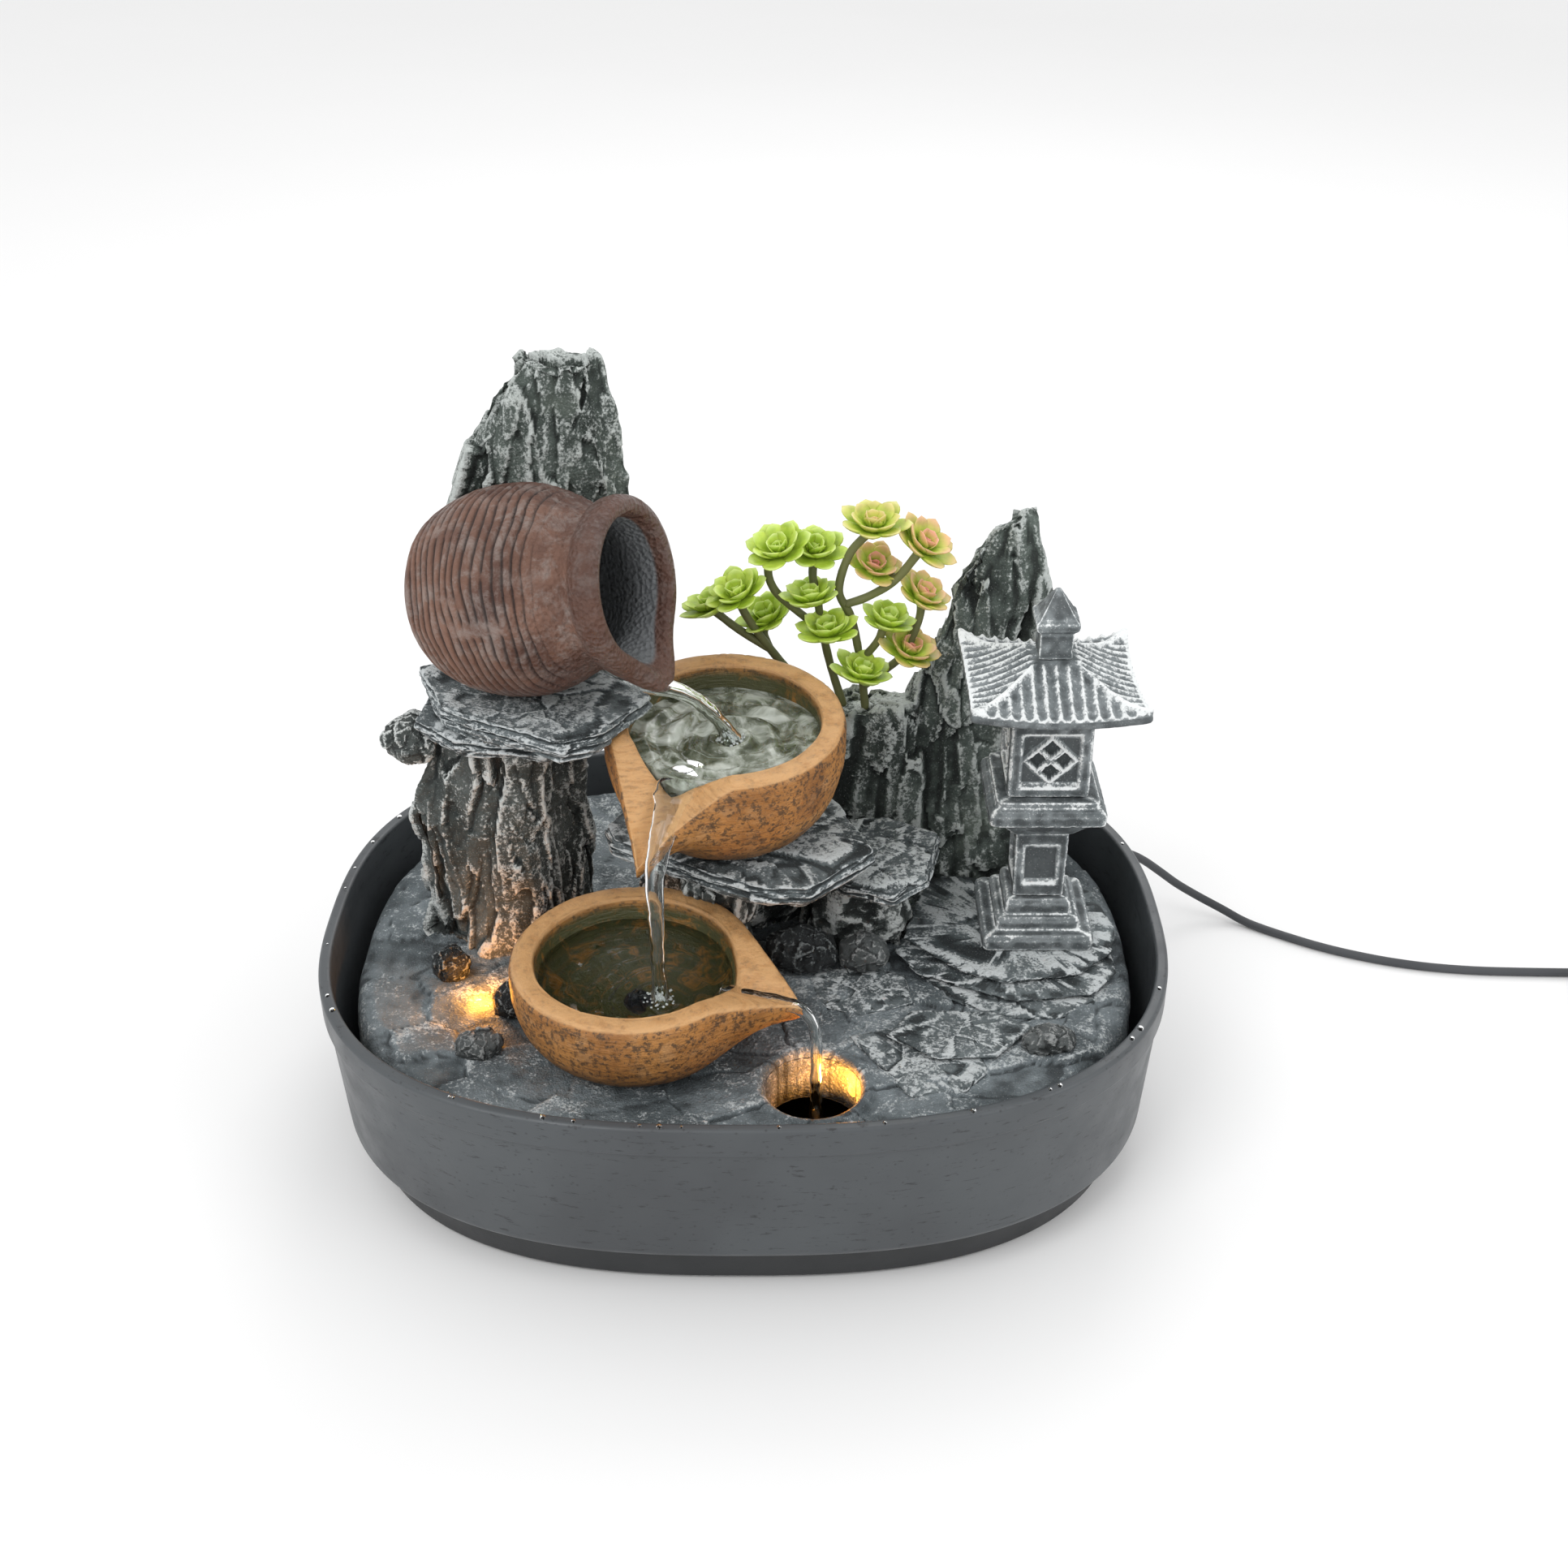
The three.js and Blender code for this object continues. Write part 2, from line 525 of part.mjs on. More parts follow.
const hoseRun = (z) => solid(rod(HOSE_RADIUS + HOSE_CLEARANCE, z[1] - z[0], hoseX, hoseY, z[0]));
const hoseTop = 156 + raise;
const jarFloorHole = [130 + raise, 168 + raise];
add('jar', 'terracotta', mainBody(cut(
  joined(jarShell, jarHull(jarSpout)), jarHull(jarChannel), hoseRun(jarFloorHole)
)));

// ---- Bowls ----

const bowlSides = 26;

// A bowl's own frame: origin at the middle of its rim, spout along +X.
function bowlFrame(bowl) {
  const turn = new THREE.Matrix4().makeRotationZ(THREE.MathUtils.degToRad(bowl.heading));
  const tilt = new THREE.Matrix4().makeRotationX(THREE.MathUtils.degToRad(bowl.tilt));
  const [x, y, z] = bowl.at;
  return new THREE.Matrix4().makeTranslation(x, y, z + raise).multiply(tilt).multiply(turn);
}

function bowlOutline(bowl, grow) {
  const r = bowl.radius + grow;
  const d = bowl.depth;
  return [
    [0, -d - grow], [0.5 * r, -d - grow], [0.74 * r, -0.89 * d], [0.91 * r, -0.66 * d], [0.99 * r, -0.36 * d],
    [r, -0.12 * d], [r - 1.2, grow],
  ];
}

function spoutBody(bowl) {
  const { reach, drop, spread } = bowl.spout;
  return mirrored([
    [bowl.radius - 8, spread + 3, -1], [bowl.radius + 2, spread, 0], [reach, 4.8, -drop + 1],
    [reach - 2, 3.6, -drop - 4], [bowl.radius - 8, 10, -drop - 4], [bowl.radius - 8, 4, -drop - 7],
  ]);
}

function bowlSolid(bowl) {
  const { radius: r, depth: d, spout: { reach, drop, spread } } = bowl;
  const inner = r - BOWL_RIM_WIDTH;
  const shell = solid(turned([
    ...bowlOutline(bowl, 0), [inner + 0.4, 0], [inner, -2.5], [inner - 1, -0.34 * d],
    [0.72 * inner, -0.6 * d], [0.42 * inner, -0.76 * d], [0, -0.79 * d],
  ], bowlSides));
  const channel = mirrored([
    [inner - 12, spread - 5, 6], [reach + 6, spread - 5, 6], [inner - 10, 1.6, -7],
    [inner, 2.2, -7.5], [reach - 2, 2.2, -drop + 1.5], [reach + 8, 2.4, -drop - 2],
  ]);
  const body = cut(
    joined(shell, solid(hull(spoutBody(bowl)))), solid(hull(channel)),
    solid(rod(BOWL_PLUG_RADIUS, 4, 0, 0, -0.79 * d - 2.4, 16))
  );
  return mainBody(body).transform(bowlFrame(bowl).toArray());
}

// The bowl's outside, filled in and grown by the gap, which the stones around it are cut to.
function bowlEnvelope(bowl) {
  const body = solid(turned([...bowlOutline(bowl, GAP), [0, GAP]], bowlSides));
  const spout = spoutBody(bowl).map(([x, y, z]) => (
    [x + 0.5, y + Math.sign(y) * 0.5, z + (z < -2 ? -0.5 : 0.3)]
  ));
  return joined(body, solid(hull(spout))).transform(bowlFrame(bowl).toArray());
}

add('upper_bowl', 'glaze', bowlSolid(UPPER_BOWL));
add('lower_bowl', 'glaze', bowlSolid(LOWER_BOWL));
const bowlEnvelopes = [bowlEnvelope(UPPER_BOWL), bowlEnvelope(LOWER_BOWL)];
const potEnvelopes = [jarEnvelope, jarHull(jarSpout.map(([x, y, z]) => [x + 0.4, y, z])), ...bowlEnvelopes];

// ---- Lantern ----

const terraceTop = ground + 3 * SLATE_THICK + 3 * GAP;
const lanternFoot = terraceTop + GAP;
const atLantern = (geometry) => geometry.translate(LANTERN_AT[0], LANTERN_AT[1], lanternFoot);

function lanternPieces() {
  let z = 0;
  const steps = LANTERN_STEPS.map((half, i) => {
    const step = frustum(half, half - 0.9, z, LANTERN_STEP_HEIGHTS[i]);
    z += LANTERN_STEP_HEIGHTS[i] - 0.02;
    return solid(atLantern(step));
  });
  const post = z + GAP;
  const tray = post + LANTERN_POST_HEIGHT + GAP;
  const house = tray + LANTERN_TRAY_HEIGHT + GAP;
  const roof = house + LANTERN_HOUSE_HEIGHT + GAP;
  const crown = roof + LANTERN_ROOF_HEIGHT + GAP;
  return { steps, post, tray, house, roof, crown };
}

const lantern = lanternPieces();
const fourSides = (make) => [0, 1, 2, 3].map((i) => solid(atLantern(make().rotateZ((i * Math.PI) / 2))));
add('lantern_base', 'lantern', joined(...lantern.steps));
add('lantern_post', 'lantern', cut(
  solid(atLantern(frustum(LANTERN_POST, LANTERN_POST + 0.4, lantern.post, LANTERN_POST_HEIGHT))),
  ...fourSides(() => (
    box(LANTERN_POST * 1.3, 2, LANTERN_POST_HEIGHT - 9, 0, -LANTERN_POST - 0.1, lantern.post + 5)
  ))
));
add('lantern_tray', 'lantern', joined(
  solid(atLantern(frustum(LANTERN_POST + 1.2, LANTERN_TRAY - 4.4, lantern.tray, 5))),
  solid(atLantern(frustum(LANTERN_TRAY - 4.4, LANTERN_TRAY - 1.2, lantern.tray + 4.9, 3))),
  solid(atLantern(frustum(LANTERN_TRAY, LANTERN_TRAY, lantern.tray + 7.8, 3.4))),
  solid(atLantern(frustum(LANTERN_TRAY, LANTERN_TRAY - 2.2, lantern.tray + 11.1, LANTERN_TRAY_HEIGHT - 11.1)))
));
const windowHalf = LANTERN_HOUSE * 0.72;
add('lantern_house', 'lantern', cut(
  solid(atLantern(frustum(LANTERN_HOUSE, LANTERN_HOUSE, lantern.house, LANTERN_HOUSE_HEIGHT))),
  ...fourSides(() => box(windowHalf * 2, 2, 18, 0, -LANTERN_HOUSE + 0.1, lantern.house + 3))
));
const roofRise = LANTERN_ROOF_HEIGHT;
const hornCorners = [[1, 1], [-1, 1], [-1, -1], [1, -1]];
const horns = hornCorners.map(([sx, sy]) => {
  const e = LANTERN_EAVE;
  const points = [
    [e - 7, e - 1, 0.4], [e - 1, e - 7, 0.4], [e - 9, e - 9, 0.2], [e - 9, e - 9, 5.2], [e, e, 2.2],
    [e, e, 4.2],
    [e - 1, e - 7, 3], [e - 7, e - 1, 3],
  ];
  return solid(atLantern(hull(points.map(([x, y, z]) => [sx * x, sy * y, z + lantern.roof]))));
});
add('lantern_roof', 'lantern', joined(
  solid(atLantern(frustum(LANTERN_EAVE - 4, LANTERN_EAVE - 1.4, lantern.roof, 1.4))),
  solid(atLantern(frustum(LANTERN_EAVE - 1.4, LANTERN_EAVE - 1.4, lantern.roof + 1.35, 1.4))),
  solid(atLantern(frustum(LANTERN_EAVE - 1.4, LANTERN_EAVE * 0.52, lantern.roof + 2.7, roofRise * 0.36))),
  solid(atLantern(frustum(LANTERN_EAVE * 0.52, 5.6, lantern.roof + 2.7 + roofRise * 0.35, roofRise * 0.42))),
  ...horns
));
add('lantern_finial', 'lantern', joined(
  solid(atLantern(frustum(4.9, 4.9, lantern.crown, 8.5))),
  solid(atLantern(frustum(4.9, 6.4, lantern.crown + 8.4, 2.2))),
  solid(atLantern(frustum(6.4, 5.4, lantern.crown + 10.5, 2))),
  solid(atLantern(frustum(5.4, 0.6, lantern.crown + 12.4, 8.2)))
));
const lanternEnvelope = solid(atLantern(frustum(LANTERN_STEPS[0] + GAP, LANTERN_STEPS[0] + GAP, -GAP, 22)));

// ---- Rocks ----

const stones = new Map();

// Adds a stone, cut to the pots and to the named stones already laid.
function lay(name, make, neighbours = [], tools = []) {
  const around = neighbours.map((other) => stones.get(other)(GAP));
  add(name, 'rock', mainBody(cut(make(0), ...potEnvelopes, ...around, ...tools)));
  stones.set(name, make);
}

const both = (first, second) => (grow) => joined(first(grow), second(grow));
const floorSeat = ground + GAP;
const level = (n) => floorSeat + n * (SLATE_THICK + GAP);
const up = (z) => z + raise;
const hoseHole = hoseRun([ground - 10, hoseTop + 40]);

lay('rock_tower', crag([
  [floorSeat, -77, 14, 27, 26], [up(74), -77, 14, 27, 25], [up(98), -79, 13, 26, 24],
  [up(116), -75, 12, 24, 23], [towerTop, -73, 13, 24, 25],
], 3), [], [hoseHole]);
lay('under_slab', slab([
  [-97, -1], [-84, -14], [-54, -19], [-36, -9], [-38, 16], [-95, 17],
], slabBottom, SLAB_THICK), [], [hoseHole]);
lay('jar_shelf', slab([
  [-98, 17], [-88, -9], [-72, -19], [-50, -31], [-40, -26], [-26, -3], [-34, 17],
], shelfBottom, SHELF_THICK), [], [hoseHole]);
lay('shelf_boulder', boulder([-99, 6, up(118)], [10, 9, 15], 8), ['rock_tower', 'under_slab', 'jar_shelf']);
lay('tower_spire', crag([
  [slabBottom, -68, 31, 29, 12], [up(160), -66, 33, 28, 13], [up(188), -63, 34, 29, 13],
  [up(205), -60, 33, 24, 12], [up(222), -57, 32, 19, 10], [up(234), -52, 31, 11.5, 7.5],
], 17), ['under_slab', 'jar_shelf']);

lay('right_spire', both(
  crag([
    [floorSeat, 74, 46, 32, 25], [up(85), 74, 46, 29, 20], [up(118), 73, 45, 25, 14],
    [up(142), 77.5, 44, 19, 11],
    [up(160), 79, 43, 15.5, 9], [up(175), 82.5, 43, 9, 6], [up(184), 87.5, 43, 2.5, 2.5],
  ], 5),
  crag([[floorSeat, 34, 42, 28, 18], [up(100), 37, 41, 24, 13], [up(119), 39, 39, 20, 9]], 11)
), [], [lanternEnvelope]);
lay('bowl_slab', slab([
  [40, -21], [29, 9], [0, 22], [-30, 18], [-43, -6], [-40, -15], [4, -41], [20, -42],
], up(BOWL_SLAB_TOP) - 7.7, 7.7, 1.8), ['rock_tower', 'right_spire']);
lay('step_slab', slab([
  [62, 12], [56, -14], [45, -24], [30, -19], [18, -2], [22, 18], [44, 22],
], up(82), 6, 1.5), ['right_spire', 'bowl_slab']);
lay('centre_rock', both(
  crag([[floorSeat, -6, 20, 31, 18], [up(78), -4, 17, 27, 16], [up(94.2), -4, 10, 24, 14]], 23),
  crag([[floorSeat, 34, 6, 19, 15], [up(81.6), 36, 4, 15, 14]], 29)
), ['rock_tower', 'right_spire', 'bowl_slab', 'step_slab']);
lay('lower_bowl_rock', crag([
  [floorSeat, -8, -12, 12, 13], [up(80), -8, -14, 13, 14], [up(89.5), -8, -14, 10, 11],
], 31), ['centre_rock', 'bowl_slab']);

lay('slate_terrace', slab([
  [59, 30], [49, -7], [66, -24], [79, -30], [102, -26], [114, -15], [117, -2], [112, 20],
], level(2), SLATE_THICK), ['right_spire', 'centre_rock', 'step_slab']);
lay('slate_second', slab([
  [46, -10], [53, -22], [81, -36], [106, -33], [115, -22], [112, 8], [60, 10],
], level(1), SLATE_THICK), ['right_spire', 'centre_rock']);
lay('slate_third', slab([
  [54, -20], [61, -31], [75, -40], [94, -42], [109, -32], [100, -12],
], level(0), SLATE_THICK), ['centre_rock', 'right_spire']);
lay('slate_front', slab([
  [42, -52], [50, -40], [76, -41], [86, -48], [74, -62], [56, -63],
], level(1), SLATE_THICK), ['slate_second']);
lay('slate_hollow', slab([
  [31, -50], [42, -46], [70, -54], [72, -65], [64, -75], [48, -77],
], level(0), SLATE_THICK), ['slate_third'], [drainTube(DRAIN_RADIUS + 6, ground - 1, 10)]);
lay('slate_back', slab([
  [20, -20], [36, -14], [50, -20], [52, -34], [36, -40], [22, -35],
], level(0), SLATE_THICK), ['centre_rock', 'slate_third', 'slate_hollow', 'lower_bowl_rock']);
lay(
  'dark_boulder', boulder([17, -16, level(1)], [12, 8, 15], 37), ['centre_rock', 'lower_bowl_rock', 'bowl_slab']
);
lay('round_stone', boulder([37, -17, level(1)], [8.5, 7, 12], 41), [
  'centre_rock', 'dark_boulder', 'step_slab', 'slate_second', 'slate_terrace',
]);
lay('cube_pebble', boulder([-90, -19, floorSeat], [6, 5.6, 11], 43), ['rock_tower']);
lay('round_pebble', boulder([-70, -37, floorSeat], [5.4, 5.4, 10], 47, 20), ['cube_pebble']);
lay('flat_pebble', boulder([-77, -56, floorSeat], [7.6, 6.6, 8], 53), ['round_pebble']);
lay('wedge_stone', boulder([90, -55, floorSeat], [8.6, 6, 9], 59, 12), ['slate_front', 'slate_third']);

// ---- Riser hose ----

const hoseFoot = pumpTop + GAP;
add('riser_hose', 'hose', turned([
  [HOSE_BORE, hoseFoot], [HOSE_RADIUS, hoseFoot], [HOSE_RADIUS, hoseTop], [HOSE_BORE, hoseTop],
  [HOSE_BORE, hoseFoot],
], 14).translate(hoseX, hoseY, 0));

// ---- Plants ----

const rosette = ([x, y, z], scale) => {
  const r = ROSETTE_RADIUS * scale;
  return solid(turned([
    [0, -0.42 * r], [r, 0.02 * r], [0.86 * r, 0.26 * r], [0, 0.46 * r],
  ], 6).translate(x, y, up(z)));
};
const stem = (points) => solid(tube(points.map(([x, y, z]) => [x, y, up(z)]), STEM_RADIUS, 4, 5));

// A branch: its stems, then its rosettes as [x, y, z, scale].
function plant(name, stems, rosettes) {
  const ridge = stones.get('right_spire')(GAP);
  const parts = joined(...stems.map(stem), ...rosettes.map(([x, y, z, s]) => rosette([x, y, z], s)));
  add(name, 'leaf', mainBody(cut(parts, ridge, ...bowlEnvelopes)));
}

plant('plant_left', [
  [[24, 40, 118], [16, 38, 128], [8, 35, 140], [1, 33, 152], [-1.5, 32, 158]],
  [[8, 35, 140], [-2, 35, 147], [-9.5, 36, 153]],
  [[8, 35, 140], [6, 38, 144], [7.5, 40, 147]],
], [[-9.5, 36, 154, 0.95], [-1.5, 32, 160, 0.95], [7.5, 40, 148, 0.95]]);
plant('plant_middle', [
  [[31, 39, 118], [27, 38, 132], [24, 37, 146], [22.5, 36, 157]],
  [[24, 37, 146], [17, 36, 152], [9.5, 35, 160], [7.5, 34, 168], [11, 33, 173]],
  [[22.5, 36, 157], [21, 37, 164], [21.5, 39, 170]],
], [[11, 33, 174, 1], [21.5, 39, 171, 0.95], [20.5, 33, 158, 0.95], [25.5, 31, 147.6, 1]]);
plant('plant_right', [
  [[38, 37, 118], [36, 36, 135], [33, 36, 150], [29, 35, 160], [32, 35, 172], [38, 34, 180]],
  [[31, 35.5, 155], [38, 35, 158], [46, 34, 164], [53, 33, 174]],
  [[36, 36, 135], [41, 34, 143], [43, 33, 149]],
  [[37, 36.5, 126], [46, 36, 134], [50, 34, 139]],
  [[36, 36, 135], [37, 31, 133], [36, 28, 133]],
  [[46, 34, 164], [44, 37, 165], [40, 38, 166]],
  [[50, 34, 139], [54, 37, 150], [54, 36, 157]],
], [
  [39, 34, 181.4, 1], [53.5, 33, 175.6, 1], [39.5, 38, 166, 0.9], [54, 35, 157.8, 0.95],
  [43.5, 33, 150, 0.9], [50.5, 33, 140, 1], [36, 29, 134, 0.95],
]);

// ---- Power cord ----

const cordStart = [
  exitPoint[0] + (grommetTip + 4 * GAP) * Math.cos(exitHeading),
  exitPoint[1] + (grommetTip + 4 * GAP) * Math.sin(exitHeading), GROMMET_HEIGHT,
];
// Each point: its share of the way from the grommet to the coil, how far it bows off that line, height.
const CORD_ROUTE = [
  [0.0173, 8.84, 33.4], [0.0515, 13.35, 30], [0.083, 16.4, 25.4], [0.1172, 18.71, 19.6],
  [0.1529, 19.85, 14], [0.196, 20.34, 8.8], [0.2433, 18.92, 4.6], [0.2801, 15.88, 2.2],
  [0.3169, 12.24, 1.5], [0.3684, 7.11, 1.5], [0.4115, 3.4, 1.5], [0.4598, 0.21, 1.5], [0.5271, -3, 1.5],
  [0.6006, -4.88, 1.5], [0.6795, -5.24, 1.5], [0.7583, -4.41, 1.5], [0.8424, -3.07, 1.5],
  [0.9159, -1.74, 1.5],
].map(([share, bow, z]) => [
  cordStart[0] + share * (COIL_AT[0] - cordStart[0]),
  cordStart[1] + share * (CORD_MEETS_COIL - cordStart[1]) + bow,
  z,
]);
const coilReach = Math.sqrt(COIL_RADII[1] ** 2 - (CORD_MEETS_COIL - CORD_RADIUS - COIL_AT[1]) ** 2);
add('power_cord', 'cord', tube(
  [cordStart, ...CORD_ROUTE, [COIL_AT[0] - coilReach - 2.4 * GAP, CORD_MEETS_COIL, CORD_RADIUS]],
  CORD_RADIUS, 8, 30
));
add('cord_coil', 'cord', turned([
  [COIL_RADII[0], 2], [COIL_RADII[0] + 2, 0], [COIL_RADII[1] - 2, 0], [COIL_RADII[1], 2],
  [COIL_RADII[1], COIL_HEIGHT - 2], [COIL_RADII[1] - 2, COIL_HEIGHT], [COIL_RADII[0] + 2, COIL_HEIGHT],
  [COIL_RADII[0], COIL_HEIGHT - 2], [COIL_RADII[0], 2],
], 28).translate(...COIL_AT, 0));

const [plugWidth, plugLength, plugHeight] = PLUG_SIZE;
const plugX = COIL_AT[0] + COIL_RADII[1] - CORD_RADIUS;
const plugStart = COIL_AT[1] - 20;
const plugMid = plugHeight / 2;
const noseLength = 7;
add('plug_body', 'plug', joined(
  solid(box(plugWidth, plugLength, plugHeight, plugX, plugStart - plugLength / 2, 0)),
  solid(turned([[0, 0], [2.1, 0], [3.4, noseLength + 1], [0, noseLength + 1]], 12)
    .rotateX(Math.PI / 2).translate(plugX, plugStart + noseLength, plugMid))
));
const shellThick = 0.6;
const shellFront = plugStart - plugLength - GAP;
add('plug_shell', 'steel', cut(
  solid(box(12, 12, 4.5, plugX, shellFront - 6, plugMid - 2.25)),
  solid(box(
    12 - 2 * shellThick, 12, 4.5 - 2 * shellThick, plugX, shellFront - 7, plugMid - 2.25 + shellThick
  ))
));

export default group;
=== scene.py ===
"""A tabletop water fountain: an oval basin, a lift-out rockery, a tipped jar, two bowls and a lantern."""

import math
from functools import partial

import bpy
import numpy as np
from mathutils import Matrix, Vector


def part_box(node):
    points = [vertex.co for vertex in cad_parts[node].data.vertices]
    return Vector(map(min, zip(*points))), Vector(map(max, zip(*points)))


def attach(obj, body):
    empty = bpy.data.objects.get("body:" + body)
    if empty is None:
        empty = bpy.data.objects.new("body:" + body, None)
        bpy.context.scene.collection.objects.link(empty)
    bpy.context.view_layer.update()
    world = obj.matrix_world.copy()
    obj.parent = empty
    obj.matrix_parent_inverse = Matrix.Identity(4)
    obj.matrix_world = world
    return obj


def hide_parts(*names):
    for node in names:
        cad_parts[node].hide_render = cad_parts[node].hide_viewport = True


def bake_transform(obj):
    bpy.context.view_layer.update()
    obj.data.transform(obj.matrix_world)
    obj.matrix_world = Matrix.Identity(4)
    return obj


bl_info = {
    "name": "Tabletop Water Fountain",
    "version": (1, 0, 0),
    "blender": (4, 5, 0),
    "location": "View3D > Sidebar > Fountain",
    "description": "Builds the visible surfaces of a tabletop water fountain around its solid model",
    "category": "Object",
}

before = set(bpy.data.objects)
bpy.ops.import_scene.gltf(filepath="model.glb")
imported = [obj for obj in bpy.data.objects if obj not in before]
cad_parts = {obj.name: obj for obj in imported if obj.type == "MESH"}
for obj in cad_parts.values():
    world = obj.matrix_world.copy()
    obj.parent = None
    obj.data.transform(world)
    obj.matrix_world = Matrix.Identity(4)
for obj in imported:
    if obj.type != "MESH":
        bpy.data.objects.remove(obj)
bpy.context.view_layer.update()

MM = 0.001
TAU = 2 * math.pi
# The ovals are |x / a| + |y / b| = 1 with both terms raised to this power.
OVAL_POWER = 2.6


# ---- Patterns worked out over whole arrays ----


def lattice_value(cells, seed):
    """A repeatable value from 0 to 1 for each whole-number cell: its coordinates mixed by large factors."""
    c = cells.astype(np.int64)
    h = c[..., 0] * 374761393 + c[..., 1] * 668265263 + c[..., 2] * 2147483647 + seed * 1274126177
    h = (h ^ (h >> 13)) * 1103515245
    h = (h ^ (h >> 16)) & 0xFFFFFF
    return h / float(0xFFFFFF)


def soft_noise(points, seed=0):
    """Values from -1 to 1: lattice values blended smoothly inside each unit cell."""
    base = np.floor(points)
    f = points - base
    f = f * f * (3 - 2 * f)
    total = 0
    for i in (0, 1):
        for j in (0, 1):
            for k in (0, 1):
                corner = lattice_value(base + (i, j, k), seed)
                weight = (f[..., 0] if i else 1 - f[..., 0]) * (f[..., 1] if j else 1 - f[..., 1])
                total = total + corner * weight * (f[..., 2] if k else 1 - f[..., 2])
    return 2 * total - 1


def layered_noise(points, octaves=4, seed=0):
    """Soft noise added up at halving sizes and halving strengths."""
    total = sum(soft_noise(points * 2**n, seed + n) * 0.5**n for n in range(octaves))
    return total / (2 - 0.5 ** (octaves - 1))


def scoops(points, seed=0):
    """Distance to the nearest scattered point in unit cells: round hollows that meet in sharp crests."""
    base = np.floor(points)
    best = np.full(points.shape[:-1], 9.0)
    for n in range(27):
        cell = base + (n % 3 - 1, n // 3 % 3 - 1, n // 9 - 1)
        spot = np.stack([lattice_value(cell, seed + 17 * axis) for axis in range(3)], -1)
        best = np.minimum(best, np.linalg.norm(cell + spot - points, axis=-1))
    return best


def shards(points, seed=0):
    """Broken plates: each point belongs to its nearest scattered point, which has a level and a slant.

    Returns the height from -1 to 1, which jumps where one plate meets the next, and the difference
    between the two nearest distances, which is 0 on a plate's edge."""
    base = np.floor(points)
    best = np.full(points.shape[:-1], 9.0)
    second, height = best.copy(), np.zeros(best.shape)
    for n in range(27):
        cell = base + (n % 3 - 1, n // 3 % 3 - 1, n // 9 - 1)
        spot = np.stack([lattice_value(cell, seed + 17 * axis) for axis in range(3)], -1)
        slant = np.stack([2 * lattice_value(cell, seed + 71 + 13 * axis) - 1 for axis in range(3)], -1)
        away = points - cell - spot
        far = np.linalg.norm(away, axis=-1)
        value = 0.8 * lattice_value(cell, seed + 5) - 0.4 + 1.15 * (away * slant).sum(-1)
        nearer = far < best
        second = np.where(nearer, best, np.minimum(second, far))
        height = np.where(nearer, value, height)
        best = np.where(nearer, far, best)
    return height, second - best


def swing(angle):
    """An angle brought between half a turn back and half a turn on."""
    return np.angle(np.exp(1j * angle))


def smooth_step(low, high, value):
    """0 below low, 1 above high, and a smooth S between."""
    t = np.clip((value - low) / (high - low), 0, 1)
    return t * t * (3 - 2 * t)


# ---- Surfaces and paths ----


def surface(name, points, ring=False, attributes=None):
    """A mesh from a (rows, columns, 3) grid that closes around its columns.

    Each row is a ring of points. The first and last rows are closed by a middle point, or, where ring
    is true, the last row joins the first. Attributes hold one value for each grid point."""
    rows, cols = points.shape[:2]
    verts = points.reshape(-1, 3)
    r, c = np.meshgrid(np.arange(rows if ring else rows - 1), np.arange(cols), indexing="ij")
    up, along = (r + 1) % rows, (c + 1) % cols
    quads = np.stack([r * cols + c, r * cols + along, up * cols + along, up * cols + c], -1).reshape(-1, 4)
    faces = quads.tolist()
    if not ring:
        here = np.arange(cols)
        after, last = (here + 1) % cols, (rows - 1) * cols
        faces += np.stack([after, here, np.full(cols, len(verts))], -1).tolist()
        faces += np.stack([last + here, last + after, np.full(cols, len(verts) + 1)], -1).tolist()
        verts = np.vstack([verts, points[0].mean(0), points[-1].mean(0)])
    mesh = bpy.data.meshes.new(name)
    mesh.from_pydata(verts.tolist(), [], faces)
    for key, values in (attributes or {}).items():
        flat = np.broadcast_to(values, (rows, cols)).reshape(-1)
        middles = [] if ring else [flat[:cols].mean(), flat[-cols:].mean()]
        layer = mesh.attributes.new(key, "FLOAT", "POINT")
        layer.data.foreach_set("value", np.concatenate([flat, middles]).astype(np.float32))
    mesh.shade_smooth()
    mesh.validate()
    piece = bpy.data.objects.new(name, mesh)
    bpy.context.scene.collection.objects.link(piece)
    return piece


def grid_normals(points):
    """Outward directions of a closed-column grid: the cross product of its two neighbour differences."""
    across = np.roll(points, -1, 1) - np.roll(points, 1, 1)
    normal = np.cross(across, np.gradient(points, axis=0))
    return normal / np.maximum(np.linalg.norm(normal, axis=-1, keepdims=True), 1e-12)


def rounded(profile, radius, steps):
    """A profile with each inner corner cut back by up to radius and replaced by a bend of steps points."""
    p = np.asarray(profile, float)
    out = [p[:1]]
    for before, here, after in zip(p[:-2], p[1:-1], p[2:]):
        a, b = before - here, after - here
        la, lb = np.linalg.norm(a), np.linalg.norm(b)
        reach = min(radius, 0.45 * la, 0.45 * lb)
        t = np.linspace(0, 1, steps)[:, None]
        start, end = here + a / la * reach, here + b / lb * reach
        out.append((1 - t) ** 2 * start + 2 * t * (1 - t) * here + t**2 * end)
    return np.vstack(out + [p[-1:]])


def respaced(line, step):
    """The same line with its points the same distance apart."""
    line = np.asarray(line, float)
    run = np.concatenate([[0], np.cumsum(np.linalg.norm(np.diff(line, axis=0), axis=1))])
    at = np.linspace(0, run[-1], max(int(run[-1] / step) + 1, 2))
    return np.stack([np.interp(at, run, line[:, k]) for k in range(line.shape[1])], -1)


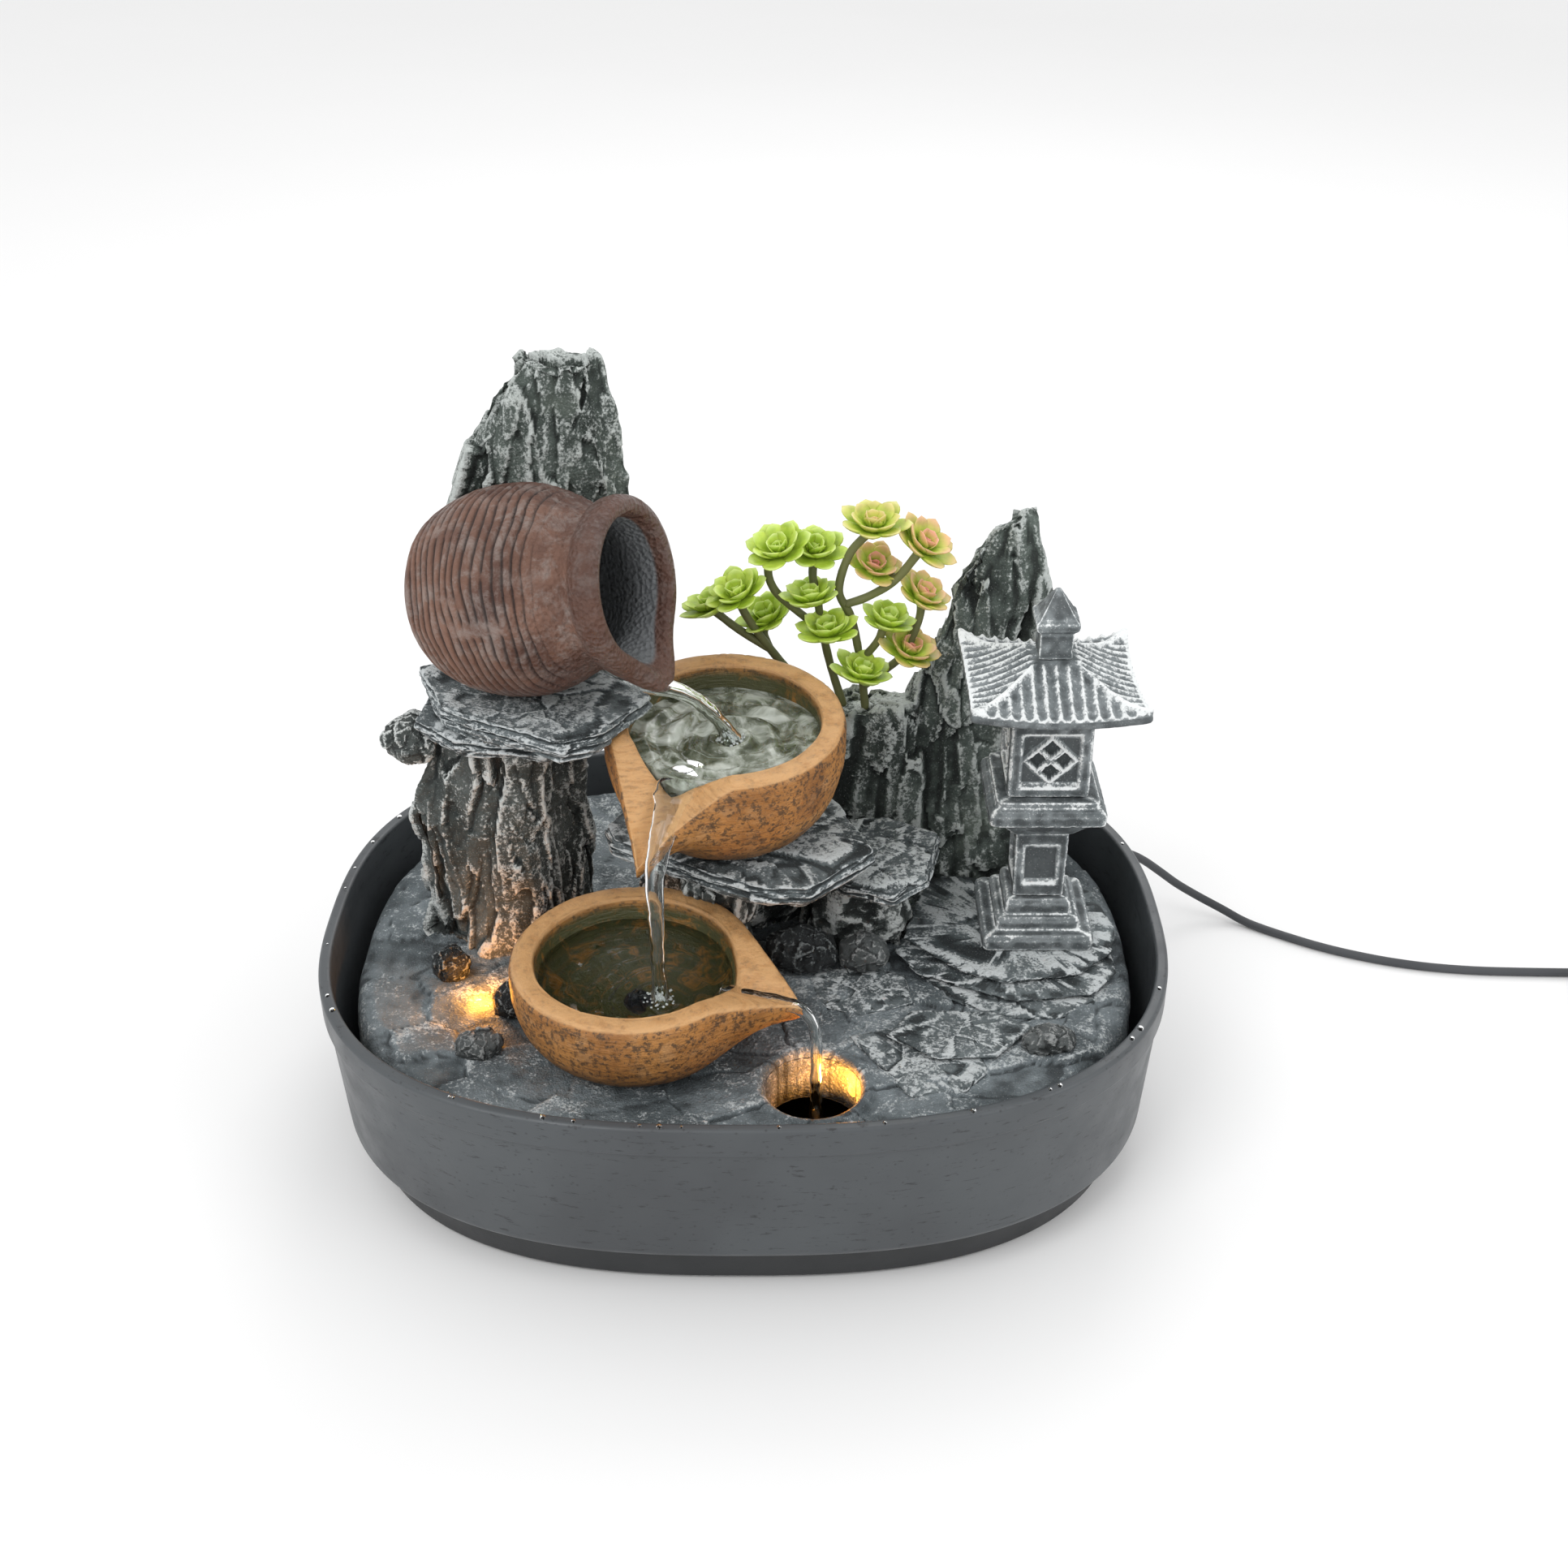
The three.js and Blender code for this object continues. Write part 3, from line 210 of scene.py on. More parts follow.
def split(profile, step):
    """A profile with each stretch between corners cut into steps, so that the corners stay."""
    parts = [respaced(profile[i:i + 2], step)[:-1] for i in range(len(profile) - 1)]
    return np.vstack(parts + [profile[-1:]])


def through(points, steps=8):
    """A smooth line through the points: each stretch is a cubic whose ends lean along their neighbours."""
    p = np.asarray(points, float)
    p = np.vstack([2 * p[0] - p[1], p, 2 * p[-1] - p[-2]])
    t = np.linspace(0, 1, steps, endpoint=False)[None, :, None]
    a, b, c, d = (p[i:len(p) - 3 + i, None] for i in range(4))
    curve = 0.5 * (2 * b + (c - a) * t + (2 * a - 5 * b + 4 * c - d) * t**2 + (3 * b - a - 3 * c + d) * t**3)
    return np.vstack([curve.reshape(-1, p.shape[1]), p[-2:-1]])


def tube(name, line, radius, sides, squash=1.0):
    """A round section carried along a line. The section's own axes are kept level, and radius may vary."""
    line = np.asarray(line, float)
    ahead = np.gradient(line, axis=0)
    ahead /= np.linalg.norm(ahead, axis=1, keepdims=True)
    side = np.cross(ahead, (0, 0, 1.0))
    weak = np.linalg.norm(side, axis=1) < 0.05
    side[weak] = np.cross(ahead[weak], (0, 1.0, 0))
    for i in range(1, len(side)):
        carried = side[i - 1] - ahead[i] * np.dot(side[i - 1], ahead[i])
        side[i] = carried / max(np.linalg.norm(carried), 1e-9)
    side[0] /= np.linalg.norm(side[0])
    rise = np.cross(side, ahead)
    angle = np.linspace(0, TAU, sides, endpoint=False)[None, :, None]
    r = np.broadcast_to(radius, len(line))[:, None, None]
    ring = side[:, None] * np.cos(angle) + rise[:, None] * np.sin(angle) * squash
    return surface(name, line[:, None] + r * ring)


def oval_ring(angle, rx, ry):
    """A rounded oval: cosine and sine raised to 2/OVAL_POWER and scaled by the half sizes."""
    c, s = np.cos(angle), np.sin(angle)
    bend = 2 / OVAL_POWER
    return np.stack([rx * np.sign(c) * np.abs(c) ** bend, ry * np.sign(s) * np.abs(s) ** bend], -1)


def square_lathe(name, profile, middle, sides, corner, change):
    """A profile of (half width, height) carried round a square with rounded corners.

    The reach at an angle is half width over the corner-power mean of its cosine and sine. change moves
    the finished points and gives their attributes."""
    profile = np.asarray(profile, float)
    angle = np.linspace(0, TAU, sides, endpoint=False)
    reach = (np.abs(np.cos(angle)) ** corner + np.abs(np.sin(angle)) ** corner) ** (-1 / corner)
    points = np.empty((len(profile), sides, 3))
    points[..., 0] = profile[:, :1] * reach * np.cos(angle)
    points[..., 1] = profile[:, :1] * reach * np.sin(angle)
    points[..., 2] = profile[:, 1:]
    points, attributes = change(points)
    return surface(name, (points + middle) * MM, attributes=attributes)


def dress(piece, material):
    """Leaves a piece with this material only."""
    piece.data.materials.clear()
    piece.data.materials.append(material)


def finish(piece, material, body, slot, *nodes):
    """Gives a piece its material, the body it rides on and the solids it stands for. slot is not used."""
    dress(piece, material)
    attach(piece, body)
    if nodes:
        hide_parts(*nodes)
    return piece


# ---- Materials ----


class Recipe:
    """A material's node tree. Values passed as sockets are linked and other values are set."""

    def __init__(self, tree):
        self.tree = tree

    def add(self, kind, output=0, settings=None, **inputs):
        node = self.tree.nodes.new(kind)
        for key, value in (settings or {}).items():
            setattr(node, key, value)
        for key, value in inputs.items():
            name = key.replace("_", " ")
            socket = node.inputs[int(key[1:])] if key[0] == "i" and key[1:].isdigit() else node.inputs[name]
            if isinstance(value, bpy.types.NodeSocket):
                self.tree.links.new(value, socket)
            else:
                socket.default_value = value
        return node.outputs[output]

    def math(self, operation, a, b=0.0, clamp=False):
        return self.add("ShaderNodeMath", settings={"operation": operation, "use_clamp": clamp}, i0=a, i1=b)

    def times(self, a, b, clamp=False):
        return self.math("MULTIPLY", a, b, clamp)

    def plus(self, a, b):
        return self.math("ADD", a, b)

    def mix(self, factor, a, b):
        return self.add("ShaderNodeMix", 2, {"data_type": "RGBA"}, i0=factor, i6=a, i7=b)

    def ramp(self, value, low, high, start=0.0, end=1.0):
        return self.add("ShaderNodeMapRange", settings={"interpolation_type": "SMOOTHSTEP"}, Value=value,
                        i1=low, i2=high, i3=start, i4=end)

    def noise(self, place, scale, detail=4.0, rough=0.55, distortion=0.0):
        return self.add("ShaderNodeTexNoise", Vector=place, Scale=scale, Detail=detail, Roughness=rough,
                        Distortion=distortion)

    def cells(self, place, scale):
        return self.add("ShaderNodeTexVoronoi", Vector=place, Scale=scale)

    def place(self, scale=(1, 1, 1)):
        spot = self.add("ShaderNodeTexCoord", "Object")
        return self.add("ShaderNodeMapping", Vector=spot, Scale=scale)

    def attribute(self, name):
        return self.add("ShaderNodeAttribute", "Fac", {"attribute_name": name})

    def effect(self, group, output, **inputs):
        return self.add("ShaderNodeGroup", output, {"node_tree": group}, **inputs)

    def bump(self, height, strength, distance):
        return self.add("ShaderNodeBump", Height=height, Strength=strength, Distance=distance)


def material(name, build, **shader):
    """A material whose build function returns the Principled shader's linked inputs."""
    made = bpy.data.materials.get(f"{name}_finish")
    if made:
        return made
    made = bpy.data.materials.new(f"{name}_finish")
    made.use_nodes = True
    principled = made.node_tree.nodes["Principled BSDF"]
    recipe = Recipe(made.node_tree)
    for key, value in shader.items():
        principled.inputs[key.replace("_", " ")].default_value = value
    for key, socket in build(recipe).items():
        made.node_tree.links.new(socket, principled.inputs[key.replace("_", " ")])
    return made


def tone(red, green, blue):
    """A screen colour of 0 to 255 as linear light."""
    c = np.array([red, green, blue]) / 255
    linear = np.where(c <= 0.04045, c / 12.92, ((c + 0.055) / 1.055) ** 2.4)
    return (*linear.tolist(), 1.0)


def effect_group(name, inputs, outputs, build):
    """A shared effect: a shader node group with named inputs and outputs, built once."""
    if name in bpy.data.node_groups:
        return bpy.data.node_groups[name]
    group = bpy.data.node_groups.new(name, "ShaderNodeTree")
    kinds = {float: "NodeSocketFloat", tuple: "NodeSocketColor", list: "NodeSocketVector"}
    for key, value in inputs.items():
        socket = group.interface.new_socket(name=key, in_out="INPUT", socket_type=kinds[type(value)])
        if not isinstance(value, list):
            socket.default_value = value
    for key, kind in outputs.items():
        group.interface.new_socket(name=key, in_out="OUTPUT", socket_type=kinds[kind])
    recipe = Recipe(group)
    entry = group.nodes.new("NodeGroupInput")
    leave = group.nodes.new("NodeGroupOutput")
    for key, socket in build(recipe, entry.outputs).items():
        group.links.new(socket, leave.inputs[key])
    return group


# ---- Shared effects ----


def grain_effect():
    """Fine and coarse noise mixed into a height, with the coarse part as a mask."""

    def build(r, i):
        fine = r.noise(i["Place"], i["Fine"], 6.0, 0.6)
        coarse = r.noise(i["Place"], i["Coarse"], 3.0, 0.5)
        height = r.plus(r.times(coarse, 0.5), r.times(fine, 0.5))
        return {"Height": height, "Mask": r.ramp(coarse, 0.35, 0.65)}

    return effect_group("surface_grain", {"Place": [], "Fine": 900.0, "Coarse": 60.0},
                        {"Height": float, "Mask": float}, build)


def speckle_effect():
    """Round flecks: where the distance to a scattered point is small and a second noise allows it."""

    def build(r, i):
        spots = r.ramp(r.cells(i["Place"], i["Scale"]), i["Size"], 0.0)
        gate = r.ramp(r.noise(i["Place"], r.times(i["Scale"], 0.31), 2.0), 0.46, 0.56)
        return {"Mask": r.times(spots, gate, True)}

    return effect_group("flecks", {"Place": [], "Scale": 500.0, "Size": 0.3}, {"Mask": float}, build)


def weathering_effect():
    """Stone colours: dark hollows, a mid body and pale brushed crests, from the wear attribute and noise. The
    dark hollow colour is a wash on the rocks and painted shade where the attribute marks gaps and recesses.
    """

    def build(r, i):
        drift = r.noise(i["Place"], 42.0, 5.0, 0.6, 0.4)
        body = r.mix(r.ramp(drift, 0.3, 0.7), i["Dark"], i["Body"])
        broken = r.noise(i["Place"], 330.0, 6.0, 0.7, 0.6)
        fine = r.noise(i["Place"], 1100.0, 4.0, 0.7)
        brushed = r.plus(i["Wear"], r.times(r.math("SUBTRACT", broken, 0.5), 1.1))
        brushed = r.plus(brushed, r.times(r.math("SUBTRACT", fine, 0.5), 1.5))
        crest = r.times(r.ramp(brushed, i["Edge"], r.plus(i["Edge"], 0.42)), i["Brushing"], True)
        worn = r.mix(crest, body, i["Pale"])
        # Dark hollows: a wash on the rocks, and painted shade in the floor's plate gaps and the lantern's
        # sunk panels and openings.
        hollow = r.ramp(r.plus(i["Wear"], r.times(broken, 0.25)), 0.56, 0.28)
        washed = r.mix(r.times(hollow, 0.7), worn, i["Wash"])
        grit = r.cells(i["Place"], 1300.0)
        return {
            "Color": r.mix(r.ramp(grit, 0.25, 0.0, 0.0, 0.35), washed, i["Pale"]),
            "Rough": r.ramp(broken, 0.2, 0.8, 0.62, 0.95),
            "Height": r.plus(broken, r.times(grit, 0.3)),
        }

    shades = {"Dark": (0.03, 0.035, 0.035, 1.0), "Body": (0.09, 0.1, 0.1, 1.0),
              "Pale": (0.4, 0.43, 0.42, 1.0),
              "Wash": (0.012, 0.014, 0.014, 1.0)}
    return effect_group("stone_weathering",
                        {"Place": [], "Wear": 0.5, "Edge": 0.6, "Brushing": 0.8, **shades},
                        {"Color": tuple, "Rough": float, "Height": float}, build)


# ---- Finishes ----


def moulded(name, shade, light, roughness, fine=1400.0, specular=0.5, streaks=0.0):
    """Moulded plastic or rubber: a slow drift of shade, fine grain, and dried drips where asked. With the
    drips, the part that the foot attribute marks is painted dark as shade.
    """

    def build(r):
        place = r.place()
        grain = r.effect(grain_effect(), "Height", Place=place, Fine=fine, Coarse=22.0)
        mask = r.effect(grain_effect(), "Mask", Place=place, Fine=fine, Coarse=16.0)
        color = r.mix(mask, shade, light)
        if streaks:
            long_place = r.place((1.0, 1.0, 5.0))
            drips = r.times(r.ramp(r.noise(long_place, 160.0, 5.0, 0.7), 0.58, 0.68), streaks)
            flecks = r.effect(speckle_effect(), "Mask", Place=place, Scale=420.0, Size=0.26)
            marks = r.math("MAXIMUM", drips, r.times(flecks, 0.85 * streaks))
            color = r.mix(marks, color, tone(30, 31, 33))
            # Painted shade: the basin's recessed foot, marked by the foot attribute, is darkened as the shade
            # under the overhanging body.
            color = r.mix(r.attribute("foot"), color, tone(34, 36, 38))
        rough = r.ramp(r.noise(place, 90.0, 4.0), 0.25, 0.75, roughness - 0.07, roughness + 0.09)
        return {"Base Color": color, "Roughness": rough, "Normal": r.bump(grain, 0.12, 0.0004)}

    return material(name, build, Specular_IOR_Level=specular)


def stone(name, dark, body, pale, wash=(24, 26, 26), edge=0.62, brushing=0.8, bump=0.9, patch=None):
    """Cast stone with brushed crests and washed hollows; where the wear attribute marks gaps and recesses,
    the dark hollow colour is painted shade.
    """

    def build(r):
        place = r.place()
        values = {"Place": place, "Wear": r.attribute("wear"), "Edge": edge, "Brushing": brushing,
                  "Dark": tone(*dark), "Body": tone(*body), "Pale": tone(*pale), "Wash": tone(*wash)}
        node = r.effect(weathering_effect(), "Color", **values).node
        color = node.outputs["Color"]
        if patch:
            where = r.ramp(r.noise(place, 26.0, 3.0, 0.5, 0.3), 0.55, 0.66)
            color = r.mix(r.times(where, 0.55), color, tone(*patch))
        return {"Base Color": color, "Roughness": node.outputs["Rough"],
                "Normal": r.bump(node.outputs["Height"], bump, 0.0014)}

    return material(name, build, Specular_IOR_Level=0.35)


tower_rock = partial(stone, "tower_rock", (50, 56, 54), (94, 100, 98), (214, 218, 216), edge=0.5,
                     brushing=0.95)
spire_rock = partial(stone, "spire_rock", (52, 60, 56), (98, 108, 102), (214, 220, 217), edge=0.46,
                     brushing=0.8, patch=(120, 130, 120))
slate_stone = partial(stone, "slate_stone", (58, 65, 67), (108, 116, 118), (208, 213, 214), (22, 25, 26),
                      0.54, 0.85, 0.7)
ground_rock = partial(stone, "ground_rock", (80, 88, 91), (128, 137, 141), (214, 219, 220), (40, 43, 45),
                      0.5, 0.85)
pebble_stone = partial(stone, "pebble_stone", (66, 70, 70), (98, 102, 102), (176, 178, 177), (30, 32, 32),
                       0.66, 0.6, 0.4)
dark_stone = partial(stone, "dark_stone", (28, 31, 32), (52, 56, 57), (150, 156, 156), (10, 11, 11), 0.66,
                     0.7)
lantern_stone = partial(stone, "lantern_stone", (104, 111, 113), (142, 148, 150), (236, 239, 239),
                        (44, 48, 50), 0.5, 0.95, 0.4)


def fired_clay():
    """The jar: red-brown clay with a grey wash; darker and glossier at the neck and lip, where water runs
    over them, and on its downward-facing side, where this is painted shade; and a stippled shoulder.
    """

    def build(r):
        place = r.place()
        drift = r.noise(place, 38.0, 4.0, 0.6, 0.5)
        body = r.mix(r.ramp(drift, 0.3, 0.7), tone(84, 56, 46), tone(132, 98, 82))
        wash = r.times(r.ramp(r.noise(place, 140.0, 6.0, 0.75, 0.4), 0.44, 0.66), 0.6)
        body = r.mix(wash, body, tone(150, 140, 134))
        body = r.mix(r.times(r.ramp(r.attribute("groove"), 0.15, 0.8), 0.8), body, tone(52, 44, 42))
        # This mask is water on the neck and lip and painted shade on the jar's downward-facing side; both
        # darken the clay and make it glossier.
        wet = r.times(r.ramp(r.attribute("wet"), 0.2, 0.9), 0.6)
        body = r.mix(wet, body, tone(66, 38, 29))
        body = r.mix(r.attribute("inside"), body, tone(108, 111, 113))
        stipple = r.cells(place, 700.0)
        height = r.plus(r.noise(place, 420.0, 6.0, 0.7), r.times(stipple, r.attribute("stipple")))
        rough = r.math("SUBTRACT", r.ramp(drift, 0.2, 0.8, 0.48, 0.7), r.times(wet, 0.4))
        return {"Base Color": body, "Roughness": rough, "Normal": r.bump(height, 0.9, 0.0012)}

    return material("fired_clay", build, Specular_IOR_Level=0.4)


def bowl_glaze():
    """The bowls: orange-tan with black flecks and fine scratches, a paler rim, a dark, water-soaked inside,
    and a near-black disc painted as the shade in the hole at the floor's middle.
    """

    def build(r):
        place = r.place()
        drift = r.noise(place, 46.0, 5.0, 0.65, 0.6)
        body = r.mix(r.ramp(drift, 0.28, 0.72), tone(136, 88, 40), tone(186, 130, 68))
        pale = r.ramp(r.noise(place, 130.0, 5.0, 0.65), 0.5, 0.7)
        body = r.mix(r.times(pale, 0.4), body, tone(184, 146, 104))
        brushed = r.noise(r.place((1.0, 1.0, 9.0)), 150.0, 4.0, 0.6)
        body = r.mix(r.ramp(brushed, 0.58, 0.68, 0.0, 0.6), body, tone(94, 64, 40))
        low = r.ramp(r.attribute("low"), 0.0, 1.0)
        body = r.mix(r.times(low, 0.7), body, tone(74, 54, 38))
        flecks = r.effect(speckle_effect(), "Mask", Place=place, Scale=700.0, Size=0.55)
        body = r.mix(r.times(flecks, 0.85), body, tone(40, 32, 24))
        dabs = r.ramp(r.noise(place, 480.0, 5.0, 0.8), 0.5, 0.58, 0.0, 0.82)
        body = r.mix(dabs, body, tone(66, 50, 34))
        rim = r.times(r.attribute("rim"), r.ramp(brushed, 0.3, 0.6, 0.45, 0.9))
        body = r.mix(rim, body, tone(206, 160, 108))
        inner = r.mix(r.ramp(r.noise(place, 90.0, 5.0, 0.7, 1.2), 0.5, 0.66), tone(78, 78, 48),
                      tone(146, 104, 50))
        body = r.mix(r.attribute("inside"), body, inner)
        # Painted shade: where the plug attribute marks the dip at the floor's middle, a near-black disc
        # stands for the shade in the bowl's hole.
        body = r.mix(r.attribute("plug"), body, tone(14, 18, 30))
        rough = r.math("SUBTRACT", r.ramp(drift, 0.2, 0.8, 0.42, 0.62),
                       r.times(r.attribute("inside"), 0.3))
        return {"Base Color": body, "Roughness": rough,
                "Normal": r.bump(r.plus(brushed, r.noise(place, 620.0, 5.0, 0.7)), 0.6, 0.0008)}

    return material("bowl_glaze", build, Specular_IOR_Level=0.5)


def water():
    """Clear water; the ripples are in the mesh and only the finest are a bump."""

    def build(r):
        return {"Normal": r.bump(r.noise(r.place(), 260.0, 3.0), 0.12, 0.0006)}

    return material("clear_water", build, Base_Color=(0.93, 0.97, 0.95, 1), Roughness=0.02, IOR=1.333,
                    Transmission_Weight=1.0)


def churned_water():
    """Water full of fine bubbles, pale grey-green and only partly clear; the pale colour is partly the
    bubbles and partly a painted reflection of the white surroundings.
    """

    def build(r):
        place = r.place()
        cloud = r.noise(place, 110.0, 4.0, 0.6, 0.8)
        # Pale and grey-green mixed by noise: partly bubbles, partly a painted reflection of the white
        # surroundings.
        return {"Base Color": r.mix(r.ramp(cloud, 0.35, 0.68), tone(168, 178, 150), tone(232, 238, 228)),
                "Transmission Weight": r.ramp(cloud, 0.3, 0.7, 0.92, 0.42),
                "Normal": r.bump(r.noise(place, 260.0, 3.0), 0.2, 0.0008)}

    return material("churned_water", build, Roughness=0.04, IOR=1.333)


def foam():
    """Broken water where a stream lands: white, rough and half open."""

    def build(r):
        place = r.place()
        return {"Roughness": r.ramp(r.noise(place, 800.0), 0.3, 0.7, 0.1, 0.4),
                "Normal": r.bump(r.noise(place, 900.0, 4.0), 0.5, 0.0006)}

    return material("foam", build, Base_Color=tone(236, 241, 240), IOR=1.333, Transmission_Weight=0.55)


def leaf_skin():
    """Waxy leaves: darker at the heart, lighter at the tips, pink where the tip attribute asks."""

    def build(r):
        place = r.place()
        tip = r.attribute("tip")
        vary = r.ramp(r.noise(place, 240.0, 3.0), 0.3, 0.7)
        body = r.mix(vary, tone(160, 188, 50), tone(200, 222, 88))
        body = r.mix(r.ramp(tip, 0.15, 0.9), r.mix(0.4, body, tone(96, 128, 28)), body)
        body = r.mix(r.ramp(tip, 0.75, 1.0, 0.0, 0.6), body, tone(226, 244, 160))
        blush = r.times(r.attribute("blush"), r.ramp(tip, 0.5, 1.0), True)
        body = r.mix(blush, body, tone(236, 138, 144))
        return {"Base Color": body, "Roughness": r.ramp(vary, 0.0, 1.0, 0.38, 0.52),
                "Normal": r.bump(r.noise(place, 1500.0, 4.0), 0.12, 0.0003)}

    return material("leaf_skin", build, Specular_IOR_Level=0.5, Subsurface_Weight=0.15,
                    Subsurface_Radius=(0.002, 0.003, 0.001), Subsurface_Scale=0.5)


plant_stem = partial(moulded, "plant_stem", tone(84, 88, 50), tone(120, 122, 76), 0.6, 700.0)


def clear_hose():
    """Milky hose with faint rings of grime."""

    def build(r):
        rings = r.noise(r.place((1.0, 1.0, 12.0)), 60.0, 3.0)
        return {"Base Color": r.mix(r.ramp(rings, 0.4, 0.7), tone(214, 219, 214), tone(168, 172, 160)),
                "Roughness": r.ramp(rings, 0.3, 0.7, 0.25, 0.4), "Normal": r.bump(rings, 0.1, 0.0004)}

    return material("clear_hose", build, Coat_Weight=0.3)


def lamp_lens():
    """A warm lit lens: brightest in its middle."""

    def build(r):
        glow = r.noise(r.place(), 300.0, 2.0)
        return {"Emission Color": r.mix(r.ramp(glow, 0.3, 0.7), tone(255, 150, 40), tone(255, 190, 70)),
                "Roughness": r.ramp(glow, 0.2, 0.8, 0.12, 0.3)}

    return material("lamp_lens", build, Base_Color=tone(246, 168, 58), Emission_Strength=5.0)


def bright_steel():
    """Plug shell and shaft: brushed metal."""

    def build(r):
        lines = r.noise(r.place((1.0, 14.0, 1.0)), 700.0, 4.0)
        return {"Base Color": r.mix(lines, tone(158, 160, 163), tone(206, 208, 210)),
                "Roughness": r.ramp(lines, 0.3, 0.7, 0.2, 0.38), "Normal": r.bump(lines, 0.08, 0.0002)}

    return material("bright_steel", build, Metallic=1.0)


basin_plastic = partial(moulded, "basin_plastic", tone(62, 65, 68), tone(72, 76, 79), 0.4, 1500.0, 0.5, 0.8)
black_rubber = partial(moulded, "black_rubber", tone(30, 31, 33), tone(44, 45, 47), 0.75, 1200.0, 0.3)
pump_plastic = partial(moulded, "pump_plastic", tone(36, 38, 41), tone(50, 52, 56), 0.45, 1600.0)
pale_plastic = partial(moulded, "pale_plastic", tone(206, 205, 198), tone(222, 221, 215), 0.4, 1600.0)
cord_sheath = partial(moulded, "cord_sheath", tone(56, 58, 61), tone(74, 76, 79), 0.5, 900.0, 0.4)
plug_plastic = partial(moulded, "plug_plastic", tone(40, 42, 45), tone(54, 56, 60), 0.4, 1500.0)


# ---- Sizes and colours a user would change ----


CHIP_DEPTH = 0.0032


class FountainSettings(bpy.types.PropertyGroup):
    """Sizes and colours of the fountain's visible surfaces."""

    groove_depth: bpy.props.FloatProperty(
        name="Groove depth", description="How deep the rings round the jar are", default=0.0005,
        min=0.0, max=0.002, unit="LENGTH")
    groove_spacing: bpy.props.FloatProperty(
        name="Groove spacing", description="From one ring round the jar to the next", default=0.0027,
        min=0.001, max=0.01, unit="LENGTH")
    chip_depth: bpy.props.FloatProperty(
        name="Chip depth", description="How deep the hollows in the big rocks are", default=CHIP_DEPTH,
        min=0.0, max=0.006, unit="LENGTH")
    ground_relief: bpy.props.FloatProperty(
        name="Ground relief", description="How far the rockery floor rises and falls", default=0.0016,
        min=0.0, max=0.003, unit="LENGTH")
    ripple_height: bpy.props.FloatProperty(
        name="Ripple height", description="Height of the rings on the water", default=0.00045,
        min=0.0, max=0.002, unit="LENGTH")
    leaf_length: bpy.props.FloatProperty(
        name="Leaf length", description="Length of a rosette's outer leaves", default=0.0108,
        min=0.004, max=0.012, unit="LENGTH")
    lamp_power: bpy.props.FloatProperty(
        name="Lamp power", description="Strength of the two small lamps", default=0.1,
        min=0.0, max=1.0, unit="POWER")
    floor_shade: bpy.props.FloatVectorProperty(
        name="Floor", description="Colour of the studio floor", default=(0.86, 0.86, 0.86),
        size=3, min=0.0, max=1.0, subtype="COLOR")
    glow_shade: bpy.props.FloatVectorProperty(
        name="Lamp light", description="Colour of the lamps' light", default=(1.0, 0.36, 0.04),
        size=3, min=0.0, max=1.0, subtype="COLOR")


def settings():
    return bpy.context.scene.fountain


# ---- The layout that the solids follow, in millimetres ----

GROUND = 54.0
HALF_WIDTH, HALF_DEPTH = 130.0, 103.5
ROCKERY = np.array([120.4, 93.9])
GROUND_RAYS, POOL_SIDES = 600, 160
DRAIN = np.array([20.5, -71.5])
HOSE = np.array([-72.0, 6.5])
JAR, JAR_TIP, JAR_TURN = (-86, 12, 170), 90 - 12.7, -21.5
BOWL_WALL, BOWL_FLOOR = 7.4, 0.785
GROMMET_TIP = 18.1
UPPER_BOWL = {"at": (-5, -7, 139.7), "radius": 35.5, "depth": 37.0, "tilt": 5.0, "heading": -120.0,
              "reach": 49.0, "drop": 23.0}
LOWER_BOWL = {"at": (-31, -49, 85), "radius": 36.0, "depth": 30.6, "tilt": 0.0, "heading": -14.0,
              "reach": 51.0, "drop": 9.0}
LANTERN = np.array([90.7, 2.0, 61.2])
CORD_ANGLE, CORD_WALL, CORD_HEIGHT = 32.4, 127.545, 34.0
CORD_ROUTE = [
    (131, 82.2, 33.4), (137.5, 86, 30), (143.5, 88.4, 25.4), (150, 90, 19.6), (156.8, 90.4, 14),
    (165, 90, 8.8), (174, 87.6, 4.6), (181, 83.8, 2.2), (188, 79.4, 1.5), (197.8, 73.2, 1.5),
    (206, 68.6, 1.5), (215.2, 64.4, 1.5), (228, 59.8, 1.5), (242, 56.4, 1.5), (257, 54.4, 1.5),
    (272, 53.6, 1.5), (288, 53.2, 1.5), (302, 53, 1.5),
]
COIL = np.array([318.0, 32.0])
PLUG_X, PLUG_Z = 339.0, 4.5
COIL_TURNS = [(21, 1.5), (18, 1.5), (15, 1.5), (15, 4.5), (18, 4.5), (18, 7.5), (15, 7.5), (15, 10.5),
              (18, 10.5), (21, 7.5), (21, 4.5)]
LEADS = [
    ("pump_lead_line", "pump_lead", 1.5, [
        (106.2, 58.4, 34), (103.4, 56.4, 30.6), (102.4, 55.7, 24), (99, 53.3, 17.8), (95.3, 50.6, 11.2),
        (89.1, 46.2, 7.6), (64, 39, 7.6), (20, 35, 7.6), (-20, 27, 7.6), (-39.7, 15.5, 8.6),
        (-51.1, 12.5, 14.5)]),
    ("lamp_lead_left", "led_lead_left", 0.9, [
        (-84, -15.5, 7.3), (-81.5, -25, 7.3), (-80, -32, 7.6), (-80, -34.4, 12), (-80, -34.6, 22),
        (-80, -34.4, 33), (-80, -32.4, 39.5), (-80, -31, 44.1)]),
    ("lamp_lead_right", "led_lead_right", 0.9, [
        (-48.7, -7.5, 7.3), (-20, -30, 7.3), (20, -44, 7.3), (43.7, -57, 12.3), (45.4, -55.9, 37),
        (42.5, -57.8, 45.6), (39.2, -59.8, 47)]),
]


